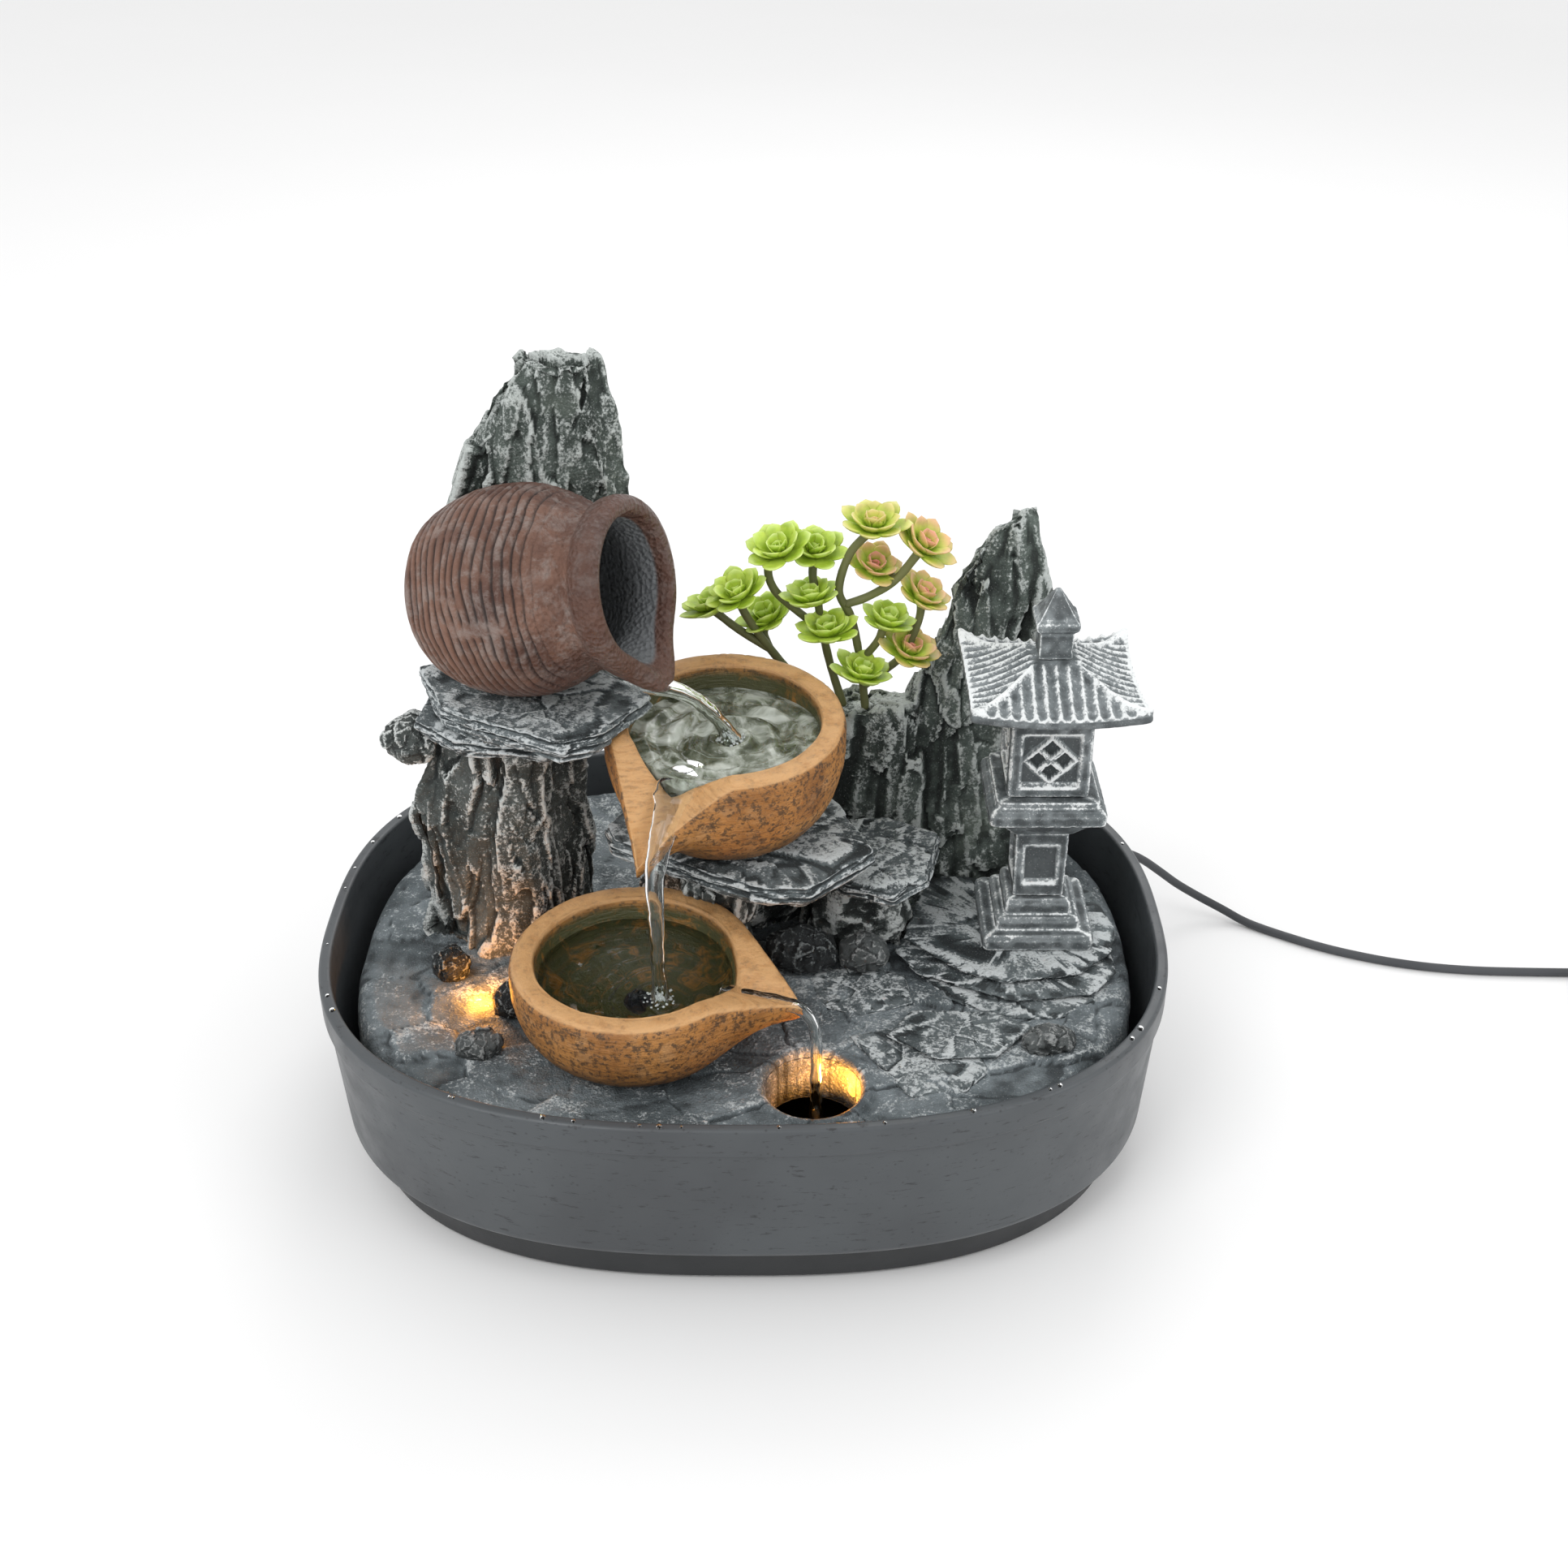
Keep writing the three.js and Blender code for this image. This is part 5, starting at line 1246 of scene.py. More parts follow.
class FOUNTAIN_OT_jar(bpy.types.Operator):
    """Turns the tipped jar, with rings round its body, a rolled lip and a poured spout"""

    bl_idname = "fountain.jar"
    bl_label = "Jar"

    def execute(self, context):
        outside = through([(0.3, 0), (10, 0), (19.5, 0.1), (23.2, 2.0), (26.2, 7), (28.7, 14), (30.3, 21),
                           (30.5, 27), (30, 33), (28.6, 38), (26.2, 43.5), (23.8, 48), (22.0, 51.5),
                           (22.2, 53.6), (24.2, 55.6), (25.0, 58.2), (25.0, 60.6), (24.0, 62.8),
                           (22.2, 63.6)], 10)
        inside = through([(22.2, 63.6), (20.2, 62.9), (18.9, 60), (18.0, 55), (19.0, 50), (22, 44),
                          (25.2, 37), (26.9, 27), (25, 14), (20, 5.5), (8, 3.8), (0.3, 3.6)], 9)
        outer = respaced(outside, step=0.42)
        profile = np.vstack([outer, respaced(inside, step=0.9)[1:]])
        last = len(outer)
        depth, spacing = settings().groove_depth / MM, settings().groove_spacing / MM
        state = {}

        def change(points, angle):
            z, outer_rows = points[..., 2], (np.arange(len(profile)) < last)[:, None]
            down = swing(angle)[None]
            round_jar = np.stack([np.cos(down) * 2 + 0 * z, np.sin(down) * 2 + 0 * z, z / 12], -1)
            wobble = 2.0 * layered_noise(round_jar, 2, 4)
            phase = (z + wobble * 0.8) / spacing
            ring = np.exp(-((phase % 1.0 - 0.5) / 0.15) ** 2)
            strength = smooth_step(2, 5, z) * smooth_step(50, 38, z) * outer_rows
            broken = smooth_step(-0.8, -0.2, layered_noise(points / (5, 5, 9), 3, 8))
            groove = ring * strength * broken
            shoulder = smooth_step(30, 44, z) * smooth_step(56, 52, z) * outer_rows
            knobs = (0.75 - scoops(points / 1.7, 6)) * 0.42 * shoulder
            rough = 0.16 * layered_noise(points / 2.2, 4, 5) + 0.3 * layered_noise(points / 11.0, 2, 15)
            push = -depth * 2.4 * groove + knobs + rough * outer_rows
            normal = np.stack([np.cos(down) + 0 * z, np.sin(down) + 0 * z, 0 * z], -1)
            near_axis = smooth_step(2, 12, np.hypot(points[..., 0], points[..., 1]))[..., None]
            points = points + normal * push[..., None] * near_axis
            lip = np.exp(-(down / 0.36) ** 2) * smooth_step(49, 63, z)
            points[..., :2] *= (1 + lip * np.where(outer_rows, 0.34, 0.30))[..., None]
            points[..., 2] += lip * 2.6
            dent = np.exp(-(down / 0.16) ** 2) * smooth_step(57, 63, z) * ~outer_rows
            points[..., 0] += dent * 1.4
            state["groove"], state["z"], state["down"] = groove, z, down
            return points

        def marks(points, angle):
            z, down = state["z"], state["down"]
            # The lower term paints shade on the jar's downward-facing body; the neck and lip term is water
            # running over them.
            side_noise = layered_noise(points / 9.0, 3, 21)
            lower = smooth_step(-0.1, 0.8, np.cos(down) + 0.45 * side_noise) * smooth_step(6, 26, z)
            return {
                "groove": state["groove"], "stipple": smooth_step(30, 44, z) * 0.8 + 0.1,
                "wet": np.maximum(lower * 0.8, smooth_step(52, 57, z)),
                "inside": ((np.arange(len(points)) >= last + 6)[:, None] * smooth_step(62.5, 60, z)),
            }

        jar = lathe("pouring_jar", profile, 240, jar_place, change, marks)
        finish(jar, fired_clay(), "rockery", "terracotta", "jar")
        return {"FINISHED"}


# ---- Bowls ----


def bowl_inner(bowl):
    """The inside line of a bowl, from its rim down to the middle of its floor."""
    inner, d = bowl["radius"] - BOWL_WALL, bowl["depth"]
    return [(inner + 0.6, -0.2), (inner + 0.1, -1.6), (inner - 0.4, -0.18 * d), (inner - 1.4, -0.36 * d),
            (0.9 * inner - 1.6, -0.5 * d), (0.7 * inner, -0.63 * d), (0.42 * inner, -0.74 * d),
            (6, -BOWL_FLOOR * d)]


def spout_share(angle, half_width):
    """1 in the middle of the spout and 0 at half_width, an angle, beside it."""
    return np.clip(1 - np.abs(swing(angle)) / half_width, 0, 1)


class FOUNTAIN_OT_bowls(bpy.types.Operator):
    """Turns the two round-bottomed bowls and draws each rim out into a spout"""

    bl_idname = "fountain.bowls"
    bl_label = "Bowls"

    def execute(self, context):
        for name, node, bowl in (("upper_dish", "upper_bowl", UPPER_BOWL),
                                 ("lower_dish", "lower_bowl", LOWER_BOWL)):
            self.dish(name, node, bowl)
        return {"FINISHED"}

    @staticmethod
    def dish(name, node, bowl):
        r, d, inner = bowl["radius"], bowl["depth"], bowl["radius"] - BOWL_WALL
        outside = respaced(through([
            (0.3, -d + 0.1), (0.3 * r, -d + 0.1), (0.5 * r, -0.99 * d), (0.74 * r, -0.88 * d),
            (0.91 * r, -0.65 * d), (0.99 * r, -0.36 * d), (r, -0.14 * d), (r - 0.3, -1.6),
            (r - 1.3, -0.3)], 10), step=0.62)
        rim = respaced(through([(r - 1.3, -0.3), (r - 2.6, 0.1), (r - 5, 0.1), (inner + 0.8, -0.3)], 8),
                       step=0.7)
        floor = -BOWL_FLOOR * d
        dip = respaced([(6, floor), (4.8, floor), (4.6, floor - 1.8), (0.4, floor - 2.0)], step=0.8)
        hollow = respaced(through(bowl_inner(bowl), 8), step=0.9)
        profile = np.vstack([outside, rim[1:], hollow, dip[1:]])
        first_rim, first_in = len(outside), len(outside) + len(rim) - 1
        row = np.arange(len(profile))[:, None]
        state = {}

        def change(points, angle):
            z, reach = points[..., 2], np.hypot(points[..., 0], points[..., 1])
            across = spout_share(angle, 0.62)[None]
            draw = across ** 1.25
            out_rows = row < first_rim
            lean = smooth_step(-0.82 * d, -1.0, z) ** 1.2
            in_rows = row >= first_in
            on_rim = ~out_rows & ~in_rows
            rim_at = np.clip((row - first_rim) / max(first_in - first_rim, 1), 0, 1)
            inner_lean = smooth_step(-0.36 * d, -1.0, z)
            outward = np.where(out_rows, (bowl["reach"] - r) * lean, 0.0)
            outward = np.where(on_rim, (bowl["reach"] - r) * (1 - rim_at) + 1.5 * rim_at, outward)
            outward = np.where(in_rows, 1.5 * inner_lean, outward)
            fall = np.where(out_rows, bowl["drop"] * lean, 0.0)
            edge_drop = 0.26 * bowl["drop"] + 3.0
            fall = np.where(on_rim, bowl["drop"] * (1 - rim_at) + edge_drop * rim_at, fall)
            fall = np.where(in_rows, edge_drop * inner_lean, fall)
            groove = spout_share(angle, 0.16)[None] ** 0.8 * np.where(on_rim, 2.0, 0.0) * (0.4 + 0.6 * rim_at)
            scale = (reach + outward * draw) / np.maximum(reach, 1e-6)
            share = np.where(out_rows, lean, np.where(in_rows, 0, 1 - rim_at))
            narrow = 1 - 0.5 * draw * share * (across > 0)
            turned = points.copy()
            turned[..., 0] = points[..., 0] * scale
            turned[..., 1] = points[..., 1] * scale * narrow
            turned[..., 2] = z - fall * draw - groove
            normal = grid_normals(turned)
            body = layered_noise(turned / (6, 6, 1.6), 3, 3) * 0.16
            body = body + layered_noise(turned / 9.0, 2, 13) * 0.22
            lines = -0.14 * smooth_step(0.3, 0.6, layered_noise(turned / (22, 22, 0.9), 2, 23))
            pits = -0.3 * smooth_step(0.3, 0.12, scoops(turned / 2.1, 33))
            push = (body + lines + pits) * np.where(in_rows, 0.5, 1.0) * smooth_step(1.0, 8.0, reach)
            state["reach"], state["z"] = reach, z
            return turned + normal * push[..., None]

        def marks(points, angle):
            z = state["z"]
            rim_rows = (row >= first_rim - 2) & (row <= first_in + 1)
            low = smooth_step(-0.45 * d, -0.95 * d, z) * (row < first_rim)
            inside = np.clip((row >= first_in + 2) * 1.0 * smooth_step(-1.0, -4.5, z), 0, 1)
            # The plug mark covers the dip at the floor's middle, which the glaze paints near-black as the
            # shade in the hole.
            return {"low": low, "rim": rim_rows * 1.0 + 0 * z, "inside": inside,
                    "plug": (row > first_in) * smooth_step(5.6, 4.8, state["reach"])}

        finish(lathe(name, profile, 240, bowl_place(bowl), change, marks), bowl_glaze(), "rockery",
               "bowl_glaze", node)


# ---- Water ----


class FOUNTAIN_OT_water(bpy.types.Operator):
    """Fills the bowls, and pours the streams from jar to bowl to bowl to drain"""

    bl_idname = "fountain.water"
    bl_label = "Water"

    def execute(self, context):
        self.pool("upper_pool", UPPER_BOWL, 133.9, (-3, -10), churned_water(), 1.7)
        self.pool("lower_pool", LOWER_BOWL, 77.8, (-22.9, -61), water(), 0.8)
        self.stream("jar_stream", [
            (-46, -4, 160.5), (-36, -8.4, 156.4), (-27, -12.4, 153.8), (-19.6, -13.9, 152.6),
            (-14, -13.4, 149.6), (-9, -12.1, 144.6), (-5.4, -10.9, 139), (-3.2, -10.1, 133.5)],
            [2.0, 4.6, 4.6, 3.6, 3.0, 2.7, 2.6, 3.3], [0.35, 0.3, 0.34, 0.5, 0.7, 0.8, 0.85, 1], 3)
        self.stream("upper_stream", [
            (-13, -22, 133.2), (-17.5, -31, 132.0), (-20, -38, 127.6), (-22, -44.5, 121.8),
            (-23.4, -50.6, 116.4), (-23.8, -54.4, 112.0), (-23.6, -57.2, 105), (-23.3, -59.2, 96),
            (-23, -60.4, 86), (-22.9, -61, 77.2)],
            [3.0, 6.2, 5.0, 3.8, 3.1, 2.7, 2.35, 2.15, 2.1, 2.6],
            [0.25, 0.22, 0.28, 0.36, 0.45, 0.62, 0.8, 0.9, 0.95, 1], 7)
        self.stream("lower_stream", [
            (-6, -55.5, 77.2), (0, -57.2, 77.0), (6.5, -58.8, 76.8), (12.5, -60.6, 76.4), (17.8, -62.3, 74.8),
            (20.6, -64.2, 70.5), (21.4, -65.8, 64), (21.6, -66.8, 56), (21.6, -67.3, 47), (21.6, -67.5, 41)],
            [2.4, 4.4, 4.2, 3.2, 2.5, 2.1, 1.9, 1.8, 1.8, 2.0],
            [0.25, 0.25, 0.25, 0.32, 0.5, 0.75, 0.85, 0.9, 0.95, 1], 11)
        for name, spot, size, seed in (("upper_foam", (-3, -10, 134.1), 6.0, 2),
                                       ("lower_foam", (-22.9, -61, 78.0), 5.0, 5)):
            self.splash(name, spot, size, seed)
        return {"FINISHED"}

    @staticmethod
    def pool(name, bowl, level, source, look, lively):
        """A top whose height is a fading cosine of the distance from the stream, over the bowl's hollow."""
        wall = np.array(bowl_inner(bowl))
        line = respaced(through(wall, 8), step=1.0)
        place = bowl_place(bowl)
        depth = bowl["at"][2] - level
        line = line[line[:, 1] < -depth - 2.0]
        edge = np.interp(depth, -wall[:, 1], wall[:, 0])
        angle = np.linspace(0, TAU, POOL_SIDES, endpoint=False)

        def rings_of(rows):
            ring = [np.stack([np.cos(angle) * r, np.sin(angle) * r, 0 * angle + z], -1) for r, z in rows]
            return place(np.stack(ring))

        under = rings_of([(r + 0.25, z) for r, z in line[::-1]])
        top_r = np.linspace(edge + 0.3, 0.6, 90)
        top = rings_of([(r, -depth) for r in top_r])
        away = np.hypot(top[..., 0] - source[0], top[..., 1] - source[1])
        high = settings().ripple_height / MM
        rings = np.cos(TAU * away / 6.4 + 1.6 * soft_noise(top / 9.0, 3)) * np.exp(-away / 24)
        chop = layered_noise(top * (1, 1, 0) / 6.0 + 3, 3, 8)
        calm = smooth_step(0, 5, edge + 0.3 - top_r)[:, None]
        top[..., 2] = level + high * lively * (1.7 * rings + 1.2 * chop) * (0.25 + 0.75 * calm)
        piece = surface(name, np.concatenate([under, top]) * MM)
        finish(piece, look, "rockery", "water")

    @staticmethod
    def stream(name, route, radius, flatness, seed):
        """An elliptical section along the fall. Width and flatness follow the route, and noise ruffles it."""
        smooth = respaced(through(np.column_stack([route, radius, flatness]), 10), step=0.7)
        line, r, flat = smooth[:, :3], smooth[:, 3], smooth[:, 4]
        run = np.arange(len(line)) * 0.7
        ruffle = 1 + 0.14 * layered_noise(np.stack([run / 4.0, 0 * run, 0 * run + seed], -1), 3, seed)
        sway = [soft_noise(np.stack([run / 6.0, 0 * run + k, 0 * run], -1), seed + k) for k in range(3)]
        swirl = 0.25 * np.stack(sway, -1)
        free = smooth_step(0.45, 0.8, flat)[:, None]
        piece = tube(name, (line + swirl * free * (1, 1, 0)) * MM, r * ruffle * MM, 28, flat[:, None, None])
        finish(piece, water(), "rockery", "water")

    @staticmethod
    def splash(name, spot, size, seed):
        """Flattened round bubbles, thickest at the middle, where a stream meets a pool."""
        rng = np.random.default_rng(seed)
        away, turn = size * rng.uniform(0, 1, 70) ** 1.3, rng.uniform(0, TAU, 70)
        middle = np.array(spot) + np.stack([away * np.cos(turn), away * np.sin(turn), 0.1 + 0 * away], -1)
        big = (0.25 + 0.55 * rng.uniform(0, 1, 70) * (1 - 0.6 * away / size))[:, None, None, None]
        fall, around = np.meshgrid(np.linspace(0.15, math.pi - 0.15, 6),
                                   np.linspace(0, TAU, 10, endpoint=False), indexing="ij")
        ball = np.stack([np.sin(fall) * np.cos(around), np.sin(fall) * np.sin(around), 0.7 * np.cos(fall)],
                        -1)[::-1]
        finish(copies(name, (middle[:, None, None] + ball[None] * big) * MM), foam(), "rockery", "water")


# ---- Lantern ----


class FOUNTAIN_OT_lantern(bpy.types.Operator):
    """Carves the stone lantern: stepped base, panelled post, tray, latticed house, ribbed roof and finial"""

    bl_idname = "fountain.lantern"
    bl_label = "Stone lantern"

    def execute(self, context):
        z = 0.0
        base = [(0.4, 0.0)]
        for half, height in zip((17.2, 13.0, 10.2), (5.0, 4.0, 5.0)):
            base += [(half, z), (half, z + height * 0.72), (half - 0.9, z + height)]
            z += height - 0.02
        base += [(0.4, z)]
        self.part("lantern_steps", base, "lantern_base", 1)
        z += 0.3
        post = [(0.4, z), (7.8, z), (8.2, z + 23), (0.4, z + 23)]
        self.part("lantern_pillar", post, "lantern_post", 2, self.panel(z + 4.5, z + 18.5, 5.2))
        z += 23.3
        tray = [(0.4, z), (9.0, z), (13.2, z + 5), (13.6, z + 5.2), (16.4, z + 7.7), (17.6, z + 7.9),
                (17.6, z + 11.2), (16.6, z + 12.6), (15.4, z + 13.2), (15.4, z + 15), (0.4, z + 15)]
        self.part("lantern_shelf", tray, "lantern_tray", 3)
        z += 15.3
        house = [(0.4, z), (12.3, z), (12.3, z + 29.5), (0.4, z + 29.5)]
        self.part("lantern_room", house, "lantern_house", 4, self.window(z + 12.0))
        z += 29.8
        self.roof(z)
        z += 12.3
        cap = [(0.4, z), (4.9, z), (4.9, z + 8.2), (6.2, z + 9.6), (6.4, z + 10.6), (6.4, z + 11.8),
               (5.4, z + 12.6), (0.7, z + 20.3), (0.3, z + 20.6)]
        self.part("lantern_cap", cap, "lantern_finial", 5)
        return {"FINISHED"}

    @staticmethod
    def part(name, profile, node, seed, carve=None):
        """A square section along a profile, roughened, with its edges brushed pale and any carved recesses
        painted darker as shade.
        """
        line = split(rounded(profile, 0.5, 4), 0.42)

        def change(points):
            edge = np.zeros(points.shape[:2])
            if carve:
                points, edge = carve(points)
            reach = np.abs(points[..., :2]).max(-1)
            corner = smooth_step(0.86, 0.99, np.abs(points[..., :2]).min(-1) / np.maximum(reach, 1e-6))
            turn = np.gradient(np.stack([reach, points[..., 2]], -1), axis=0)
            turn = turn / np.maximum(np.linalg.norm(turn, axis=-1, keepdims=True), 1e-9)
            bend = np.linalg.norm(np.gradient(turn, axis=0), axis=-1)
            wear = np.clip(0.24 + 0.55 * np.maximum(corner, np.clip(bend * 2.2, 0, 1)) + edge
                           + 0.3 * layered_noise(points / 3.0, 3, seed), 0, 1)
            normal = grid_normals(points)
            pits = smooth_step(0.35, 0.1, scoops(points / 3.2, seed))
            rough = 0.13 * layered_noise(points / 1.6, 4, seed + 10) - 0.25 * pits
            keep = smooth_step(0.4, 3.0, reach)
            return points + normal * (rough * keep)[..., None], {"wear": wear}

        piece = square_lathe(name, line, LANTERN, 280, 16.0, change)
        finish(piece, lantern_stone(), "rockery", "lantern_stone", node)

    @staticmethod
    def sides(points):
        """How far along its side a point lies, and the outward direction of that side."""
        x, y = points[..., 0], points[..., 1]
        front = np.abs(y) >= np.abs(x)
        along = np.where(front, x, y)
        out = np.stack([np.where(front, 0, np.sign(x)), np.where(front, np.sign(y), 0), 0 * x], -1)
        return along, out

    def panel(self, low, high, half):
        """A shallow sunk panel with sloped edges on each side, painted a little darker as shade."""

        def carve(points):
            along, out = self.sides(points)
            z = points[..., 2]
            inset = np.minimum(half - np.abs(along), np.minimum(z - low, high - z))
            sunk = smooth_step(0.0, 0.9, inset)
            edge = 0.45 * smooth_step(0.9, 0.2, np.abs(inset))
            # Painted shade: the sunk panel lowers the wear value, so it takes the dark hollow colour.
            return points - out * (1.3 * sunk)[..., None], edge - 0.2 * sunk

        return carve

    def window(self, middle):
        """A sunk square that holds a diamond frame, which a cross divides into four openings; the openings
        are painted dark and the sunk square a little darker, as shade.
        """

        def carve(points):
            along, out = self.sides(points)
            up = points[..., 2] - middle
            inset = np.minimum(8.7 - np.abs(along), 8.9 - np.abs(up))
            sunk = smooth_step(0.0, 0.7, inset)
            a, b = (along + up) / math.sqrt(2), (along - up) / math.sqrt(2)
            far = np.maximum(np.abs(a), np.abs(b))
            near = np.minimum(np.abs(a), np.abs(b))
            frame_bar = smooth_step(6.1, 5.7, far)
            opening = smooth_step(4.9, 4.5, far) * smooth_step(0.65, 1.0, near)
            depth = 1.5 * sunk - 0.9 * frame_bar + 2.6 * opening
            edge = 0.4 * smooth_step(0.9, 0.2, np.abs(inset))
            # Painted shade: the shallow openings are coloured dark as the shade inside the lantern, and the
            # sunk square a little darker; the frame bars are brushed pale.
            edge = edge + 0.5 * frame_bar * (1 - opening) - 0.9 * opening
            return points - out * depth[..., None], edge - 0.15 * sunk

        return carve

    @staticmethod
    def roof(z):
        """A hollow-sided pyramid: height is (1 - m) to the power 1.5, with m the distance to the eave.

        Ribs run down each side, thick ridges follow the corners, and the corners turn up."""
        eave, rise = 24.9, 12.0
        top = np.linspace(0.17, 1.0, 96)
        rows = ([(0.015, 0.0), (0.5, 0.0), (0.9, 0.0), (0.955, 0.05), (0.992, 0.3), (1.0, 0.8), (1.0, 1.6),
                 (0.995, 2.3)]
                + [(m, 2.7 + (rise - 2.7) * (1 - m) ** 1.45 / (1 - 0.17) ** 1.45) for m in top[::-1]]
                + [(0.1, rise + 0.05), (0.012, rise + 0.05)])
        outside = np.arange(len(rows))[:, None] >= 8

        def change(points):
            x, y = points[..., 0], points[..., 1]
            reach = np.abs(points[..., :2]).max(-1)
            m = reach / eave
            along = np.where(np.abs(y) >= np.abs(x), x, y)
            corner = np.abs(points[..., :2]).min(-1) / np.maximum(reach, 1e-6)
            shape = np.exp(-((along / 3.55 - np.round(along / 3.55)) / 0.2) ** 2)
            slope = smooth_step(0.2, 0.3, m) * outside
            ribs = shape * slope * (1 - smooth_step(0.84, 0.92, corner))
            hip = smooth_step(0.86, 0.95, corner) * slope
            up = 1.25 * ribs + 1.7 * hip
            curl = 3.0 * smooth_step(0.55, 1.0, m) * (np.abs(x * y) / eave**2) ** 2.2
            points = points.copy()
            points[..., 2] += z + up + curl
            flare = 0.045 * (np.abs(x * y) / eave**2) ** 3 * smooth_step(0.8, 1, m)
            points[..., :2] *= (1 + flare)[..., None]
            wear = np.clip(0.3 + 0.6 * np.maximum(shape * slope, hip)
                           + 0.55 * smooth_step(0.93, 0.99, m) * outside
                           + 0.25 * layered_noise(points / 2.6, 3, 6), 0, 1)
            rough = 0.12 * layered_noise(points / 1.5, 4, 16)
            rough = rough * smooth_step(0.05, 0.2, m)
            return points + grid_normals(points) * rough[..., None], {"wear": wear}

        lines = np.array([(m * eave, height) for m, height in rows])
        piece = square_lathe("lantern_tiles", lines, LANTERN, 360, 40.0, change)
        finish(piece, lantern_stone(), "rockery", "lantern_stone", "lantern_roof")


# ---- Plants ----

# Each rosette: x, y, z, size, and how pink its tips are. Each stem: a route of points.
ROSETTES = {
    "plant_left": [(-9.5, 36, 154, 0.95, 0), (-1.5, 32, 160, 0.95, 0), (7.5, 40, 148, 0.95, 0)],
    "plant_middle": [(11, 33, 174, 1, 0), (21.5, 39, 171, 0.95, 0), (20.5, 33, 158, 0.95, 0),
                     (25.5, 31, 147.6, 1, 0)],
    "plant_right": [(39, 34, 181.4, 1, 0.5), (53.5, 33, 175.6, 1, 0.9), (39.5, 38, 166, 0.9, 1.0),
                    (54, 35, 157.8, 0.95, 0.9), (43.5, 33, 150, 0.9, 0), (50.5, 33, 140, 1, 0.9),
                    (36, 29, 134, 0.95, 0)],
}
STEMS = {
    "plant_left": [
        [(24, 40, 118), (16, 38, 128), (8, 35, 140), (1, 33, 152), (-1.5, 32, 158)],
        [(8, 35, 140), (-2, 35, 147), (-9.5, 36, 153)], [(8, 35, 140), (6, 38, 144), (7.5, 40, 147)]],
    "plant_middle": [
        [(31, 39, 118), (27, 38, 132), (24, 37, 146), (22.5, 36, 157)],
        [(24, 37, 146), (17, 36, 152), (9.5, 35, 160), (7.5, 34, 168), (11, 33, 173)],
        [(22.5, 36, 157), (21, 37, 164), (21.5, 39, 170)]],
    "plant_right": [
        [(38, 37, 118), (36, 36, 135), (33, 36, 150), (29, 35, 160), (32, 35, 172), (38, 34, 180)],
        [(31, 35.5, 155), (38, 35, 158), (46, 34, 164), (53, 33, 174)],
        [(36, 36, 135), (41, 34, 143), (43, 33, 149)],
        [(37, 36.5, 126), (46, 36, 134), (50, 34, 139)], [(36, 36, 135), (37, 31, 133), (36, 28, 133)],
        [(46, 34, 164), (44, 37, 165), (40, 38, 166)], [(50, 34, 139), (54, 37, 150), (54, 36, 157)]],
}


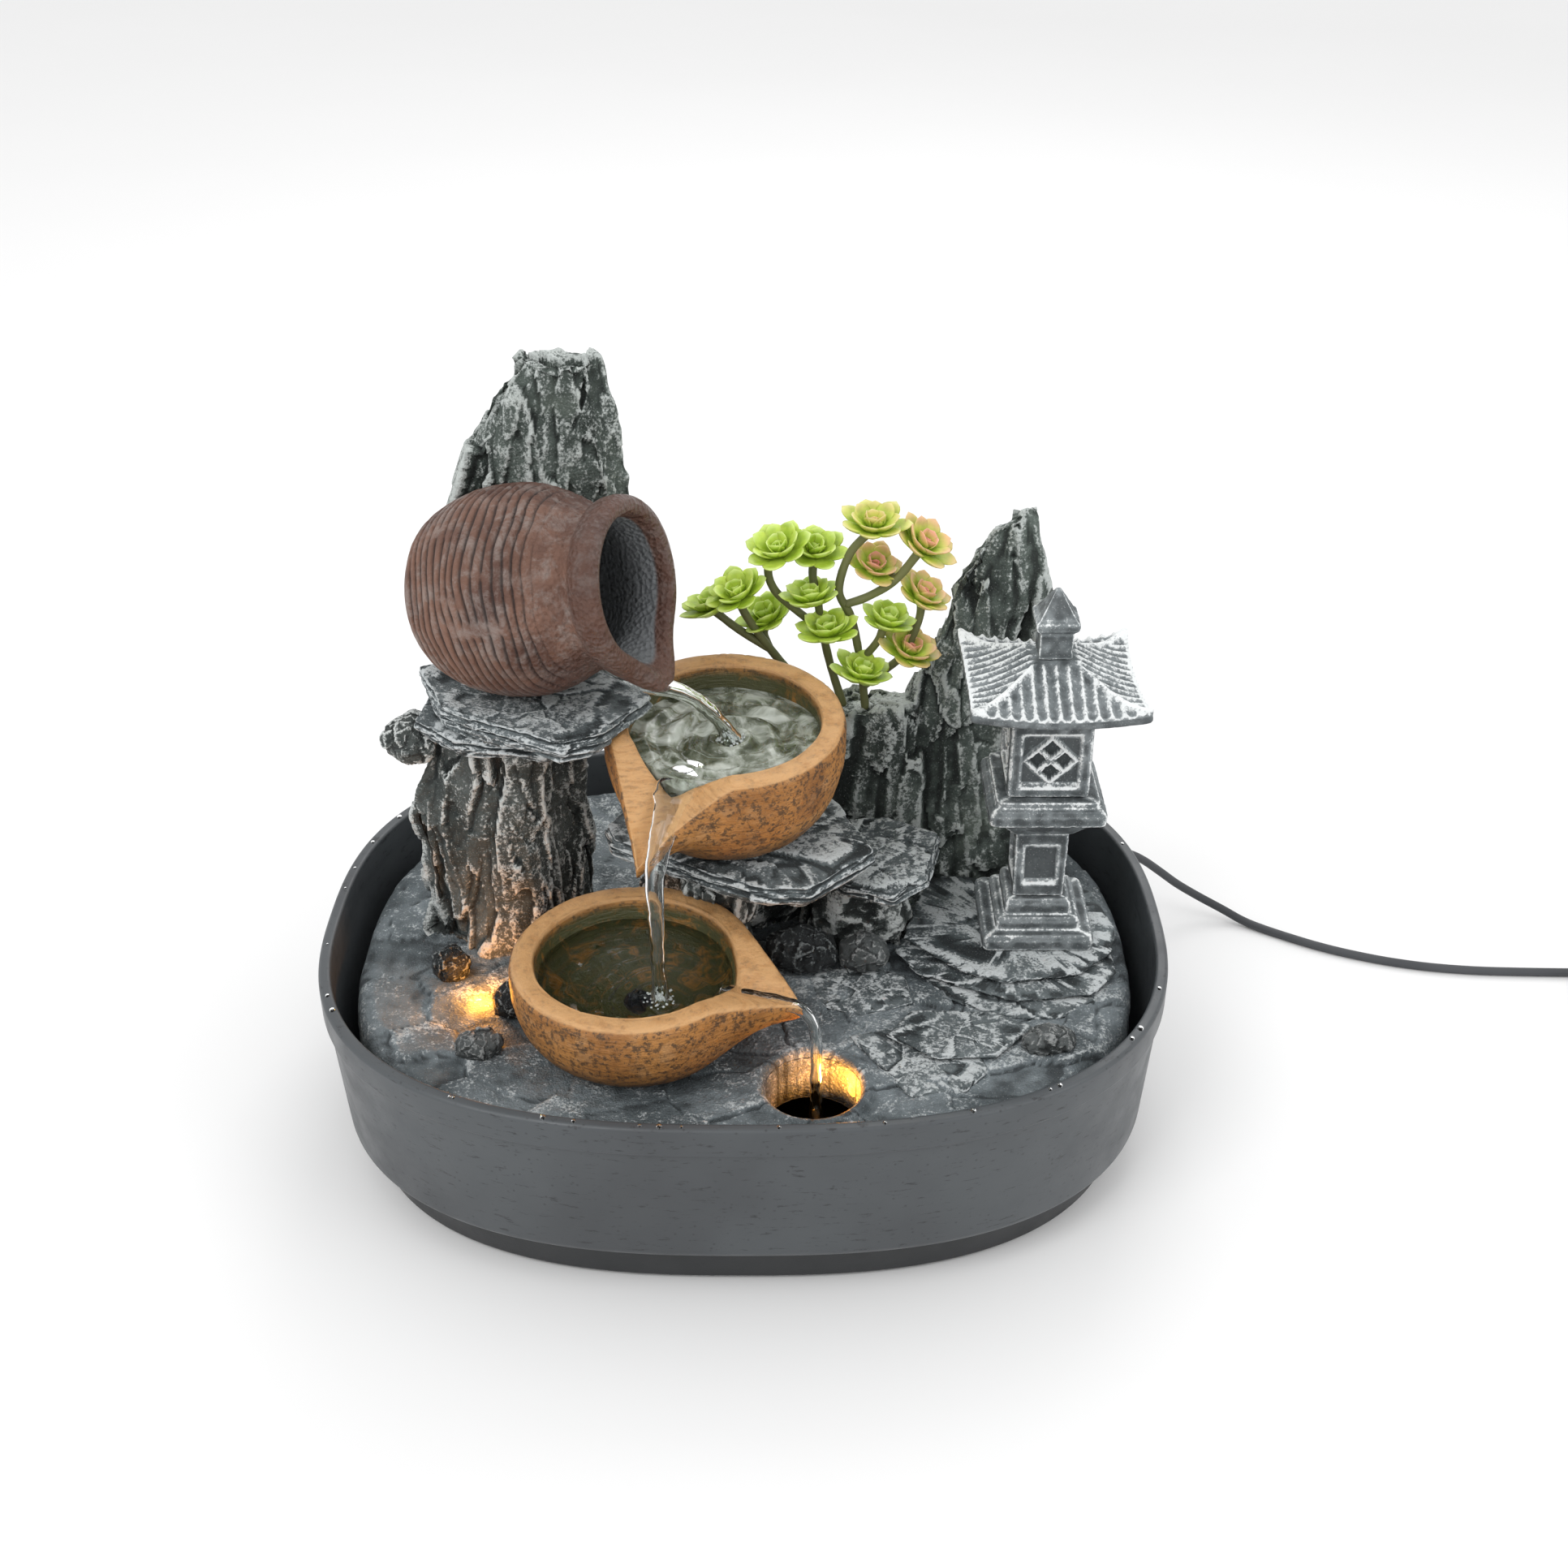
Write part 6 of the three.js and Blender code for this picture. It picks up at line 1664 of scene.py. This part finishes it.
class FOUNTAIN_OT_plants(bpy.types.Operator):
    """Grows the three branches of succulent rosettes on their bent stems"""

    bl_idname = "fountain.plants"
    bl_label = "Plants"

    def execute(self, context):
        for node, rosettes in ROSETTES.items():
            leaves = [self.rosette(*values, seed=k) for k, values in enumerate(rosettes)]
            grids = np.concatenate([grid for grid, _, _ in leaves])
            tips = np.concatenate([tip for _, tip, _ in leaves])
            blush = np.concatenate([pink for _, _, pink in leaves])
            piece = copies(f"{node}_leaves", grids * MM, {"tip": tips, "blush": blush})
            finish(piece, leaf_skin(), "rockery", "leaf", node)
            for n, route in enumerate(STEMS[node]):
                line = respaced(through(route, 8), step=0.9)
                knots = 1.3 + 0.12 * layered_noise(line / 3.0, 2, n)
                finish(tube(f"{node}_stem_{n + 1}", line * MM, knots * MM, 14), plant_stem(), "rockery",
                       "stem")
        return {"FINISHED"}

    @staticmethod
    def rosette(x, y, z, size, pink, seed):
        """Whorls of spoon-shaped leaves round a leaning axis.

        A leaf's half width is a sine of its length to the power 0.6. Its middle line rises as the square
        of the length, and its edges curl up."""
        rng = np.random.default_rng(100 + seed + int(10 * x + y))
        reach = 1.06 * settings().leaf_length / MM * size
        whorls = [(7, 0.16, 1.0, 0.37), (7, 0.5, 0.84, 0.35), (5, 0.9, 0.62, 0.31), (4, 1.22, 0.42, 0.24)]
        counts = [n for n, _, _, _ in whorls]
        leaves = sum(counts)
        lift, long, wide = (np.repeat([whorl[k] for whorl in whorls], counts) for k in (1, 2, 3))
        lift = lift + rng.uniform(-0.08, 0.08, leaves)
        long = long * reach * rng.uniform(0.9, 1.06, leaves)
        wide = wide * reach
        turn = np.concatenate([TAU * (np.arange(n) + 0.5 * k) / n + 0.3 * k for k, n in enumerate(counts)])
        turn = turn + rng.uniform(-0.12, 0.12, leaves) + 0.7 * seed
        u = np.linspace(0.02, 1, 11)[None, :, None]
        round_ = np.linspace(0, TAU, 10, endpoint=False)[None, None, :]
        half = wide[:, None, None] * (0.2 + 0.8 * np.sin(math.pi * u**1.4 * 0.6 + 0.2))
        half = half * np.clip(1.002 - u**4, 0, 1) ** 0.62
        thick = 0.085 * long[:, None, None] * (1.1 - u) ** 0.5 + 0.12
        side = half * np.cos(round_)
        bow = long[:, None, None] * 0.24 * u**2 + 0.32 * side**2 / np.maximum(wide[:, None, None], 1e-6)
        up = bow + thick * np.sin(round_) * np.sqrt(np.clip(1.001 - u**6, 0, 1))
        out = long[:, None, None] * u + 0 * round_
        c, s = np.cos(lift)[:, None, None], np.sin(lift)[:, None, None]
        out, up = out * c - up * s, out * s + up * c
        ct, st = np.cos(turn)[:, None, None], np.sin(turn)[:, None, None]
        local = np.stack([out * ct - side * st, out * st + side * ct, up - 0.12 * reach + 0 * out], -1)
        axis = np.array([(x - 24) / 60 + rng.uniform(-0.2, 0.2), -0.16 + rng.uniform(-0.2, 0.2), 0.9])
        axis /= np.linalg.norm(axis)
        first = np.cross((0, 1.0, 0), axis)
        first /= np.linalg.norm(first)
        second = np.cross(axis, first)
        grid = np.array([x, y, z]) + local @ np.stack([first, second, axis])
        tip = np.broadcast_to(u, grid.shape[:3])
        inner = np.broadcast_to(np.clip(0.45 + 0.55 * lift / 1.2, 0, 1)[:, None, None], grid.shape[:3])
        return grid, tip, pink * inner


# ---- Lamps ----


class FOUNTAIN_OT_lamps(bpy.types.Operator):
    """Lights the two warm lamps, one between the pebbles and one in the drain's wall"""

    bl_idname = "fountain.lamps"
    bl_label = "Lamps"

    def execute(self, context):
        for node in ("led_left", "led_right"):
            dress(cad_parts[node], lamp_lens())
        for name, spot, power in (("left_glow", (-79, -33.5, 58.0), 0.32),
                                  ("right_glow", (29.5, -65.5, 50.5), 0.3)):
            lamp = bpy.data.lights.new(name, "POINT")
            lamp.energy = settings().lamp_power * power
            lamp.color = settings().glow_shade
            lamp.shadow_soft_size = 0.003
            piece = bpy.data.objects.new(name, lamp)
            piece.location = np.array(spot) * MM
            context.scene.collection.objects.link(piece)
        return {"FINISHED"}


OPERATORS = (
    FOUNTAIN_OT_stage, FOUNTAIN_OT_power_cord, FOUNTAIN_OT_leads, FOUNTAIN_OT_basin, FOUNTAIN_OT_kept_solids,
    FOUNTAIN_OT_ground, FOUNTAIN_OT_stones, FOUNTAIN_OT_jar, FOUNTAIN_OT_bowls, FOUNTAIN_OT_water,
    FOUNTAIN_OT_lantern, FOUNTAIN_OT_plants, FOUNTAIN_OT_lamps,
)


# ---- Panel and running order ----


class FOUNTAIN_PT_panel(bpy.types.Panel):
    """Lists the fountain's pieces and their sizes and colours"""

    bl_idname = "FOUNTAIN_PT_panel"
    bl_label = "Tabletop Fountain"
    bl_space_type = "VIEW_3D"
    bl_region_type = "UI"
    bl_category = "Fountain"

    def draw(self, context):
        for key in FountainSettings.__annotations__:
            self.layout.prop(context.scene.fountain, key)
        for operator in OPERATORS:
            self.layout.operator(operator.bl_idname)


CLASSES = (FountainSettings, *OPERATORS, FOUNTAIN_PT_panel)


def register():
    for cls in CLASSES:
        bpy.utils.register_class(cls)
    bpy.types.Scene.fountain = bpy.props.PointerProperty(type=FountainSettings)


def unregister():
    del bpy.types.Scene.fountain
    for cls in reversed(CLASSES):
        bpy.utils.unregister_class(cls)


def main():
    """Builds every piece in order."""
    register()
    for operator in OPERATORS:
        group, name = operator.bl_idname.split(".")
        getattr(getattr(bpy.ops, group), name)()


if __name__ == "__main__":
    main()
